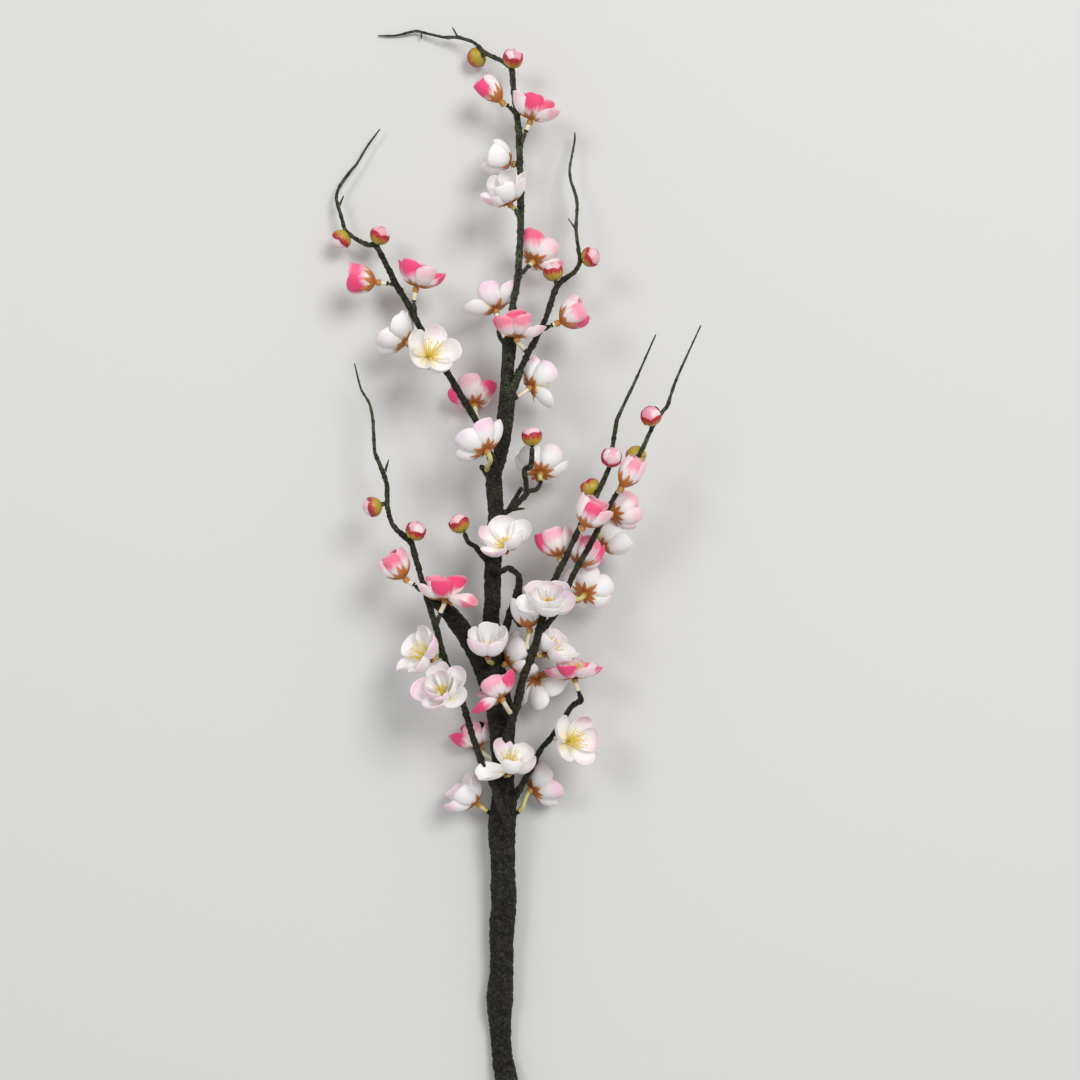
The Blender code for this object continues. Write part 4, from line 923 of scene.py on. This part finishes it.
def centreline(shape, shares):  # outward, rise and slope along a petal
    first, last, length, lip = shape
    fine = np.linspace(0, 1.15, 231)
    slopes = np.radians(first + (last - first) * fine + lip * ease(petal["lipStart"], 1.0, fine))
    step = (fine[1] - fine[0]) * length
    between = (slopes[1:] + slopes[:-1]) / 2
    outward = petal["start"] * mm + np.concatenate([[0], np.cumsum(np.cos(between))]) * step
    rise = np.concatenate([[0], np.cumsum(np.sin(between))]) * step
    return [np.interp(shares, fine, values) for values in (outward, rise, slopes)]


def widthAt(along):  # the share of its greatest width that a petal has
    near = np.sin(np.minimum(along / petal["widest"], 1) * math.pi / 2) ** petal["spoon"]
    return petal["baseShare"] + (1 - petal["baseShare"]) * near


def bowlAt(along):  # how far the middle of a petal bulges outward
    return petal["bowl"] * mm * np.sin(math.pi * np.clip(along, 0, 1))


def petalGrid(shape, halfWidth, habit):  # spots, marks and thickness of a petal that points along x
    across = towardRims(petal["columns"])[None, :]
    row = (np.linspace(0, 1, petal["rows"]) ** 0.9)[:, None]
    widest = petal["widest"]
    tipAt = widest + (1 - widest) * (1 - np.abs(across) ** petal["roundness"]) ** (1 / petal["roundness"])
    tipAt = tipAt - habit["notch"] * np.exp(-((across - habit["notchAt"]) / petal["notchWidth"]) ** 2)
    along = row * tipAt
    half = halfWidth * widthAt(along)
    cup = np.where(across > 0, petal["cupOver"], petal["cupUnder"]) * habit["cup"]
    sideways = half * np.sin(cup * across) / cup
    lift = half * (1 - np.cos(cup * across)) / cup
    outward, rise, slope = centreline(shape, along)
    edge = np.maximum(np.abs(across) ** 3, row ** 5 * 0.9)
    bearing = np.arctan2(row * 1.4, across)
    lift = lift + petal["wave"] * mm * edge * np.sin(habit["waves"] * bearing + habit["phase"])
    lap = petal["lap"] * mm * across * ease(*petal["lapSpan"], along)
    lift = lift + lap - bowlAt(along) * (1 - across * across)
    crease = habit["crease"] * mm * np.exp(-(across / petal["creaseWidth"]) ** 2)
    lift = lift + crease * ease(*petal["creaseSpan"], along)
    roll = math.radians(habit["roll"]) * ease(*petal["rollSpan"], along)  # a turn about its middle line
    sideways, lift = (sideways * np.cos(roll) - lift * np.sin(roll),
                      sideways * np.sin(roll) + lift * np.cos(roll))
    outward = outward - np.sin(slope) * lift
    rise = rise + np.cos(slope) * lift
    limit = np.maximum(outward, petal["start"] * mm) * math.tan(math.radians(petal["sector"])) + 0.3 * mm
    sideways = sideways * (1 + (np.abs(sideways) / limit) ** 4) ** -0.25
    grid = np.stack([outward, sideways, rise], -1)
    marks = np.stack([along, across + 0 * along, np.full(along.shape, habit["tint"])], -1)
    thin = petal["thickness"] * mm * (1 - petal["thinRim"] * np.maximum(np.abs(across) ** 4, row ** 8))
    return grid, marks, thin


def addPetals(parts, form, seed, look, openings, tints, scale=1.0, turn=0.0, steeper=0.0, raised=0.0):
    chance = random.Random(seed)  # the draws that the solids share
    own = random.Random(seed + seeds["petals"])

    def draw(source, habit):
        return source.uniform(*petalHabits[habit])

    first, last = petalSlopes[form]
    shapes = []
    for index in range(petal["count"]):
        tilt, curl = draw(chance, "tilt"), draw(chance, "curl")
        stretch = draw(chance, "stretch") * scale
        lip = draw(own, "foldedLip") if own.random() < petal["foldedShare"] else draw(own, "lip")
        tilt = (openings[index] if openings else tilt) + draw(own, "lean")
        shape = (first + steeper + tilt / 2, last + steeper + tilt + curl, petal["length"] * mm * stretch,
                 lip)
        habit = {"notch": petal["notch"] * own.random() ** 2}
        for name in ("notchAt", "cup", "waves", "phase", "crease"):
            habit[name] = draw(own, name)
        habit["tint"] = draw(own, "tint") if look == "pinkPetal" else own.random() ** 2
        habit["roll"] = draw(own, "roll")
        if tints:
            habit["tint"] = tints[index]
        grid, marks, thin = petalGrid(shape, petal["halfWidth"] * mm * scale * draw(own, "width"), habit)
        around = 2 * math.pi * index / petal["count"] + turn + math.radians(draw(own, "swing"))
        grid = grid @ np.array(Matrix.Rotation(around, 3, "Z")).T
        grid[..., 2] += raised
        addSheet(parts, grid, thin, marks, look)
        shapes.append(shape)
    return shapes


calyx = {"height": 2.4, "sleeve": 2.2, "neck": 2.3, "flare": 1.4, "spikes": 10, "valley": 0.15,
         "shortest": 0.27, "longest": 0.48, "bend": 0.16, "gap": 0.85, "wrap": 0.6, "skin": 0.25,
         "skinTop": 2.0, "closedShare": 1.3, "sharp": 1.1, "deep": 1.8, "overtake": (0.2, 0.55),
         "handOver": 0.25, "closing": 0.25, "neckMark": 0.2, "around": 160, "steps": 10, "neckSteps": 4}


def addCalyx(parts, shapes, seed, longer):  # a pointed star that lies under the petals it holds
    own = random.Random(seed + seeds["calyx"])
    count, spikes, steps, neckSteps = petal["count"], calyx["spikes"], calyx["steps"], calyx["neckSteps"]
    angles = fullTurn(calyx["around"])
    spacing = 2 * math.pi / spikes
    lengths = longer * np.array([own.uniform(calyx["shortest"], calyx["longest"]) for _ in range(spikes)])
    shifts = np.array([own.uniform(-calyx["bend"], calyx["bend"]) for _ in range(spikes)])
    chance = own.random()
    rings, marks = [], []

    def addRing(outward, rise, swing, mark):
        rings.append(np.stack([outward * np.cos(swing), outward * np.sin(swing), rise], -1))
        marks.append(np.stack([mark, angles * 2, 0 * angles + chance], -1))

    for step in range(neckSteps):
        share = step / neckSteps
        radius = (calyx["neck"] + (petal["start"] + calyx["flare"] - calyx["neck"]) * share ** 1.5) * mm
        rise = (-(calyx["height"] + calyx["sleeve"]) * (1 - share) - (calyx["gap"] + 0.3) * share) * mm
        addRing(radius, 0 * angles + rise, angles, 0 * angles + share * calyx["neckMark"])
    nearest = np.round(angles / spacing).astype(int) % spikes
    offset = (angles - np.round(angles / spacing) * spacing) / (spacing / 2)
    spike = np.clip(1 - np.abs(offset), 0, 1) ** calyx["sharp"]
    valley = calyx["valley"] * longer ** calyx["deep"]
    ends = valley + spike * (lengths[nearest] - valley)
    part = count * angles / (2 * math.pi)
    besideMiddle = np.abs(part - np.round(part)) * 2 * math.pi / count
    here = np.floor(part).astype(int) % count
    following = (here + 1) % count
    firsts = np.array([shape[0] for shape in shapes])
    # from petal to petal, the more open one is followed longer
    begin = np.where(firsts[following] < firsts[here], *calyx["overtake"])
    blend = ease(begin, begin + calyx["handOver"], part - np.floor(part))
    for step in range(steps + 1):
        share = step / steps
        along = ends * share
        lines = [centreline((*shape[:3], 0), along) for shape in shapes]
        outward, rise, slope = (
            np.choose(here, [line[k] for line in lines]) * (1 - blend)
            + np.choose(following, [line[k] for line in lines]) * blend for k in range(3))
        half = petal["halfWidth"] * mm * widthAt(along)
        bend = np.arcsin(np.clip(outward * np.sin(besideMiddle) / half, 0, 0.95))
        lift = (calyx["wrap"] * half * (1 - np.cos(bend)) - bowlAt(along)
                - calyx["gap"] * mm * (1 - calyx["closing"] * share))
        mark = calyx["neckMark"] + (1 - calyx["neckMark"]) * along / calyx["longest"]
        addRing(outward - np.sin(slope) * lift, rise + np.cos(slope) * lift,
                angles + shifts[nearest] * share ** 2, mark)
    rings, marks = np.array(rings), np.array(marks)
    inner = rings[neckSteps:][::-1].copy()  # a second skin inside closes the star
    inner += unit(np.array([0, 0, calyx["skinTop"] * mm]) - inner) * calyx["skin"] * mm
    addTube(parts, np.concatenate([rings, inner]), np.concatenate([marks, marks[neckSteps:][::-1]]), "calyx")


# a stalk swells where it sits on its stub and under its calyx: how much, where and how far
stalk = {"radius": 1.75, "slim": 0.95, "swells": [(0.18, 0.04, 0.06), (0.2, 1.0, 0.12)], "steps": 14,
         "sides": 12, "pull": 0.38, "stubLength": 1.2, "gap": 0.3, "leastAngle": 50.0, "creamEvery": 3}


def addStalk(parts, start, facing, end, aim, look):
    pull = stalk["pull"] * (end - start).length
    corners = [start, start + facing * pull, end - aim * pull, end]
    points, radii = [], []
    for step in range(stalk["steps"] + 1):
        t = step / stalk["steps"]
        a, b, c = (corners[k].lerp(corners[k + 1], t) for k in range(3))
        points.append(a.lerp(b, t).lerp(b.lerp(c, t), t))
        swell = sum(much * math.exp(-((t - where) / far) ** 2) for much, where, far in stalk["swells"])
        radii.append(stalk["radius"] * mm * (stalk["slim"] + swell))
    rings = tubeRings(points, radii, stalk["sides"])
    shares = np.linspace(0, 1, len(points))[:, None] + np.zeros((1, stalk["sides"]))
    turn = np.linspace(0, 2, stalk["sides"])[None, :] + np.zeros((len(points), 1))
    addTube(parts, rings, np.stack([shares, turn, 0 * turn + 0.5], -1), look)


stamen = {"count": 18, "length": 13.5, "radius": 0.32, "taper": (1.15, 0.35), "lean": (8, 40),
          "closedLean": 0.5, "anther": (0.95, 0.48), "spiral": 2.39996, "jitter": (-0.2, 0.2),
          "reach": (0.82, 1.08), "bow": (-0.25, 0.35), "root": (0.4, 1.3), "sunk": 0.4, "steps": 6,
          "sides": 6, "antherSides": 8}
stamenReach = {"open": 1.0, "double": 1.0, "cup": 0.92, "half": 0.75, "shut": 0.6}
# blossoms whose stamens stay short, deep between the petals, and their share of the length
shortStamens = {"bloom_02": 0.6, "bloom_04": 0.8, "bloom_07": 0.55, "bloom_17": 0.5, "bloom_19": 0.7,
                "bloom_21": 0.6, "bloom_22": 0.5, "bloom_28": 0.7, "bloom_29": 0.5, "bloom_38": 0.8}


def addRod(parts, points, radii, sides, chance, look):
    share = np.linspace(0, 1, len(points))[:, None] + np.zeros((1, sides))
    marks = np.stack([share, 0 * share, 0 * share + chance], -1)
    addTube(parts, tubeRings(points, radii, sides), marks, look)


def addStamens(parts, form, seed, raised, share):
    own = random.Random(seed + seeds["stamens"])
    steps = np.linspace(0, 1, stamen["steps"])
    long, wide = stamen["anther"]
    rootWidth, taper = stamen["taper"]
    upright = stamen["closedLean"] if form in closedForms else 1.0
    for index in range(stamen["count"]):
        lean = math.radians(own.uniform(*stamen["lean"])) * upright
        turn = index * stamen["spiral"] + own.uniform(*stamen["jitter"])
        length = stamen["length"] * mm * (stamenReach[form] * share) * own.uniform(*stamen["reach"])
        bow = own.uniform(*stamen["bow"])
        base = Vector((math.cos(turn), math.sin(turn), 0)) * own.uniform(*stamen["root"]) * mm
        base.z = raised - stamen["sunk"] * mm
        points = []
        for t in steps:
            angle = lean * (1 + bow * t)
            points.append(base + Vector((math.sin(angle) * math.cos(turn), math.sin(angle) * math.sin(turn),
                                         math.cos(angle))) * length * t)
        widths = [stamen["radius"] * mm * (rootWidth - taper * t) for t in steps]
        addRod(parts, points, widths, stamen["sides"], own.random(), "filament")
        tipWay = (points[-1] - points[-2]).normalized()
        heads = [points[-1] + tipWay * long * mm * (2 * t - 1) for t in steps]
        widths = [wide * mm * math.sqrt(max(0.04, 1 - (2 * t - 1) ** 2)) for t in steps]
        addRod(parts, heads, widths, stamen["antherSides"], own.random(), "anther")


def seat(host, foot, target):  # root and end of the stub that points from the wood to a blossom
    spot, radius, run, atEnd = nearestOn(woods[host], *foot)
    facing = (target - spot).normalized()
    reach = stalk["stubLength"] * mm
    if not atEnd:
        along = facing.dot(run)
        across = (facing - run * along).normalized()
        steepest = math.cos(math.radians(stalk["leastAngle"]))
        along = max(-steepest, min(steepest, along))
        facing = across * math.sqrt(1 - along * along) + run * along
        reach = (radius + reach) / math.sqrt(1 - along * along)
    return spot, spot + facing * reach, facing


def placeParts(parts, matrix):
    turn, move = np.array(matrix.to_3x3()), np.array(matrix.translation)
    parts["spots"] = [spots @ turn.T + move for spots in parts["spots"]]


def makeBlossom(name, stubs):
    colour, form, host, foot, place, (bearing, lift), firstPetal = blossoms[name]
    seed = int(name.split("_")[1])
    parts = newParts()
    look = colour + "Petal"
    tints = petalTints.get(name)
    size = petal["whiteSize"] if colour == "white" else 1.0
    shapes = addPetals(parts, form, seed, look, petalOpenings.get(name), tints, size)
    raised = 0.0
    if form == "double":
        raised = innerLayer["raised"] * mm
        addPetals(parts, form, seed + seeds["innerPetals"], look, None, tints, innerLayer["scale"],
                  math.pi / petal["count"], innerLayer["steeper"], raised)
    addCalyx(parts, shapes, seed, calyx["closedShare"] if form in closedForms else 1.0)
    addStamens(parts, form, seed, raised, shortStamens.get(name, 1.0))
    aim = heading(bearing, lift)
    base = at(*place)
    axis = Vector((0, 0, 1)).cross(heading(bearing, 0))
    turned = (Matrix.Rotation(math.radians(90 - lift), 3, axis)
              @ Matrix.Rotation(math.radians(firstPetal), 3, "Z"))
    placeParts(parts, Matrix.Translation(base + aim * calyx["height"] * mm) @ turned.to_4x4())
    spot, stubEnd, facing = seat(host, foot, base)
    stubs.setdefault(host, []).append((spot, stubEnd))
    green = colour == "white" and seed % stalk["creamEvery"] != 0
    addStalk(parts, stubEnd + facing * stalk["gap"] * mm, facing, base, aim,
             "stalkGreen" if green else "stalkCream")
    for spots in parts["spots"]:  # nothing reaches below the floor
        spots[:, 2] = np.maximum(spots[:, 2], 0.02 * mm)
    return makePiece(name + "_fine", parts, name)


# buds: what carries it, plan place of its foot, place of its middle
buds = {
    "bud_01": ("trunk", (486.5, 53.6), (477, 57.5, 10.5)),
    "bud_02": ("trunk", (511.6, 68), (513, 58, 32)),
    "bud_03": ("crown_left_spray", (348, 232.5), (341, 240, 17)),
    "bud_04": ("crown_left_spray", (375.5, 245), (380, 235, 28)),
    "bud_05": ("crown_right_spray", (557, 286), (553, 271, 48)),
    "bud_06": ("crown_right_spray", (580, 262), (591, 257, 43)),
    "bud_07": ("left_spray", (386, 503), (372, 507, 50)),
    "bud_08": ("left_spray", (410.3, 542), (416, 530.5, 57.5)),
    "bud_09": ("trunk", (464, 532), (459, 523, 55)),
    "bud_10": ("trunk", (532.2, 447), (532, 436, 53)),
    "bud_11": ("right_spray", (609.5, 466), (611.5, 457, 84)),
    "bud_12": ("right_spray", (652, 428), (651, 416, 80)),
    "bud_13": ("right_spray", (598, 493), (590.5, 488, 67)),
    "bud_14": ("right_spray", (638, 458), (636, 456, 63)),
}

bud = {"radius": 6.7, "ball": 0.93, "rings": 18, "around": 28, "seat": 0.9,
       "petals": 4, "petalTop": (158, 176), "petalAt": 0.955, "petalTurn": 1.15, "petalLift": 0.15,
       "petalStart": 0.5, "petalThickness": 0.25,
       "sepals": 5, "sepalTop": (96, 124), "sepalTurn": (0.85, 1.1), "sepalLift": (0.36, 0.6),
       "sepalSwing": (-0.2, 0.2), "sepalThickness": 0.35,
       "cone": [(-6.03, 2.0), (-5.6, 3.0), (-5.0, 3.6)], "coneSides": 16}
# a petal or sepal of a bud: where it starts, how pointed it is, how far it lies over the next one
budScale = {"rows": 12, "columns": 13, "bottom": 0.12, "pointed": 2.2, "overlap": 0.28}


def globeGrid(polar, turn):  # places on a ball of radius one, up from its lower pole
    flat = np.sin(polar)
    return np.stack([flat * np.cos(turn), flat * np.sin(turn), -np.cos(polar) + 0 * turn], -1)


def addScale(parts, radius, lift, middleTurn, halfTurn, top, thick, look, chance):  # one leaf of a bud
    across = towardRims(budScale["columns"])[None, :]
    row = np.linspace(0, 1, budScale["rows"])[:, None]
    reach = 0.5 + 0.5 * (1 - np.abs(across) ** budScale["pointed"]) ** 0.5
    polar = budScale["bottom"] + row * reach * (math.radians(top) - budScale["bottom"])
    turn = middleTurn + across * halfTurn * (0.55 + 0.45 * np.sin(np.minimum(polar, 1.5)))
    height = radius + lift * mm * (0.4 + 0.8 * row) + budScale["overlap"] * mm * across
    marks = np.stack([row * reach, across + 0 * row, 0 * row + 0 * across + chance], -1)
    addSheet(parts, globeGrid(polar, turn) * height[..., None], thick * mm, marks, look)


def makeBud(name, stubs):
    host, foot, place = buds[name]
    own = random.Random(int(name.split("_")[1]) + seeds["bud"])
    middle = at(*place)
    spot = nearestOn(woods[host], *foot)[0]
    aim = (middle - spot).normalized()
    radius = bud["radius"] * mm
    stubs.setdefault(host, []).append((spot, middle - aim * (bud["seat"] * radius + stalk["gap"] * mm)))
    parts = newParts()
    polar = np.linspace(0.02, math.pi - 0.02, bud["rings"])[:, None]
    turn = fullTurn(bud["around"])[None, :]
    flat = 0 * polar + 0 * turn
    marks = np.stack([polar / math.pi + flat, np.sin(turn * 3) + flat, flat + 0.4], -1)
    addTube(parts, globeGrid(polar, turn) * radius * bud["ball"], marks, "budPetal")
    start = own.uniform(0, 6.28)
    for index in range(bud["petals"]):
        middleTurn = start + index * 2 * math.pi / bud["petals"] + bud["petalStart"]
        addScale(parts, radius * bud["petalAt"], bud["petalLift"], middleTurn, bud["petalTurn"],
                 own.uniform(*bud["petalTop"]), bud["petalThickness"], "budPetal", own.random())
    for index in range(bud["sepals"]):
        lift = own.uniform(*bud["sepalLift"])
        middleTurn = start + index * 2 * math.pi / bud["sepals"] + own.uniform(*bud["sepalSwing"])
        addScale(parts, radius, lift, middleTurn, own.uniform(*bud["sepalTurn"]),
                 own.uniform(*bud["sepalTop"]), bud["sepalThickness"], "sepal", own.random())
    heights, widths = zip(*bud["cone"])
    rings = tubeRings([(0, 0, height * mm) for height in heights], [wide * mm for wide in widths],
                      bud["coneSides"])
    flat = np.zeros(rings.shape[:2])
    addTube(parts, rings, np.stack([flat, flat, flat + 0.2], -1), "sepal")
    placeParts(parts, Matrix.Translation(middle)
               @ Vector((0, 0, 1)).rotation_difference(aim).to_matrix().to_4x4())
    return makePiece(name + "_fine", parts, name)


stubs = {}
for name in blossoms:
    makeBlossom(name, stubs)
print("the blossoms are made")
for name in buds:
    makeBud(name, stubs)
print("the buds are made")
for node in woods:
    makeWood(node, stubs)
print("the wood is made")


# floor, light and camera
studio = {"floor": (0.655, 0.655, 0.643, 1), "floorEdge": 2.5, "sky": 0.50}
lamps = {
    "keyLight": {"place": (1.5, 1.5, 3.4), "size": 1.7, "power": 88.0, "colour": (1.0, 0.99, 0.97)},
    "fillLight": {"place": (-1.9, 1.3, 3.2), "size": 1.3, "power": 32.0, "colour": (0.97, 0.99, 1.0)},
}


def makeFloor():
    edge = studio["floorEdge"]
    mesh = bpy.data.meshes.new("floor")
    corners = [(-edge, -edge, 0), (edge, -edge, 0), (edge, edge, 0), (-edge, edge, 0)]
    mesh.from_pydata(corners, [], [(0, 1, 2, 3)])
    floor = bpy.data.objects.new("floor", mesh)
    bpy.context.scene.collection.objects.link(floor)
    paper = newFinish("palePaper", Roughness=0.9, Specular_IOR_Level=0.1, Base_Color=studio["floor"])[0]
    mesh.materials.append(paper)


def addSoftLight(name):
    own = lamps[name]
    data = bpy.data.lights.new(name, "AREA")
    data.shape = "DISK"
    data.size = own["size"]
    data.energy = own["power"]
    data.color = own["colour"]
    lamp = bpy.data.objects.new(name, data)
    lamp.location = own["place"]
    lamp.rotation_mode = "QUATERNION"
    lamp.rotation_quaternion = Vector(own["place"]).to_track_quat("Z", "Y")
    bpy.context.scene.collection.objects.link(lamp)


makeFloor()
for name in lamps:
    addSoftLight(name)

world = bpy.data.worlds.new("studio")
bpy.context.scene.world = world
world.use_nodes = True
sky = world.node_tree.nodes["Background"]
sky.inputs["Color"].default_value = (1, 1, 1, 1)
sky.inputs["Strength"].default_value = studio["sky"]

camera = bpy.data.objects.new("camera", bpy.data.cameras.new("camera"))
camera.data.sensor_width = 36
camera.data.lens = camera.data.sensor_width * plan["eyeHeight"] / (plan["pixels"] * plan["square"])
camera.data.clip_start = 0.05
camera.data.clip_end = 20
camera.location = at(*plan["eye"], plan["eyeHeight"])
bpy.context.scene.collection.objects.link(camera)
bpy.context.scene.camera = camera
bpy.context.scene.view_settings.view_transform = "Standard"
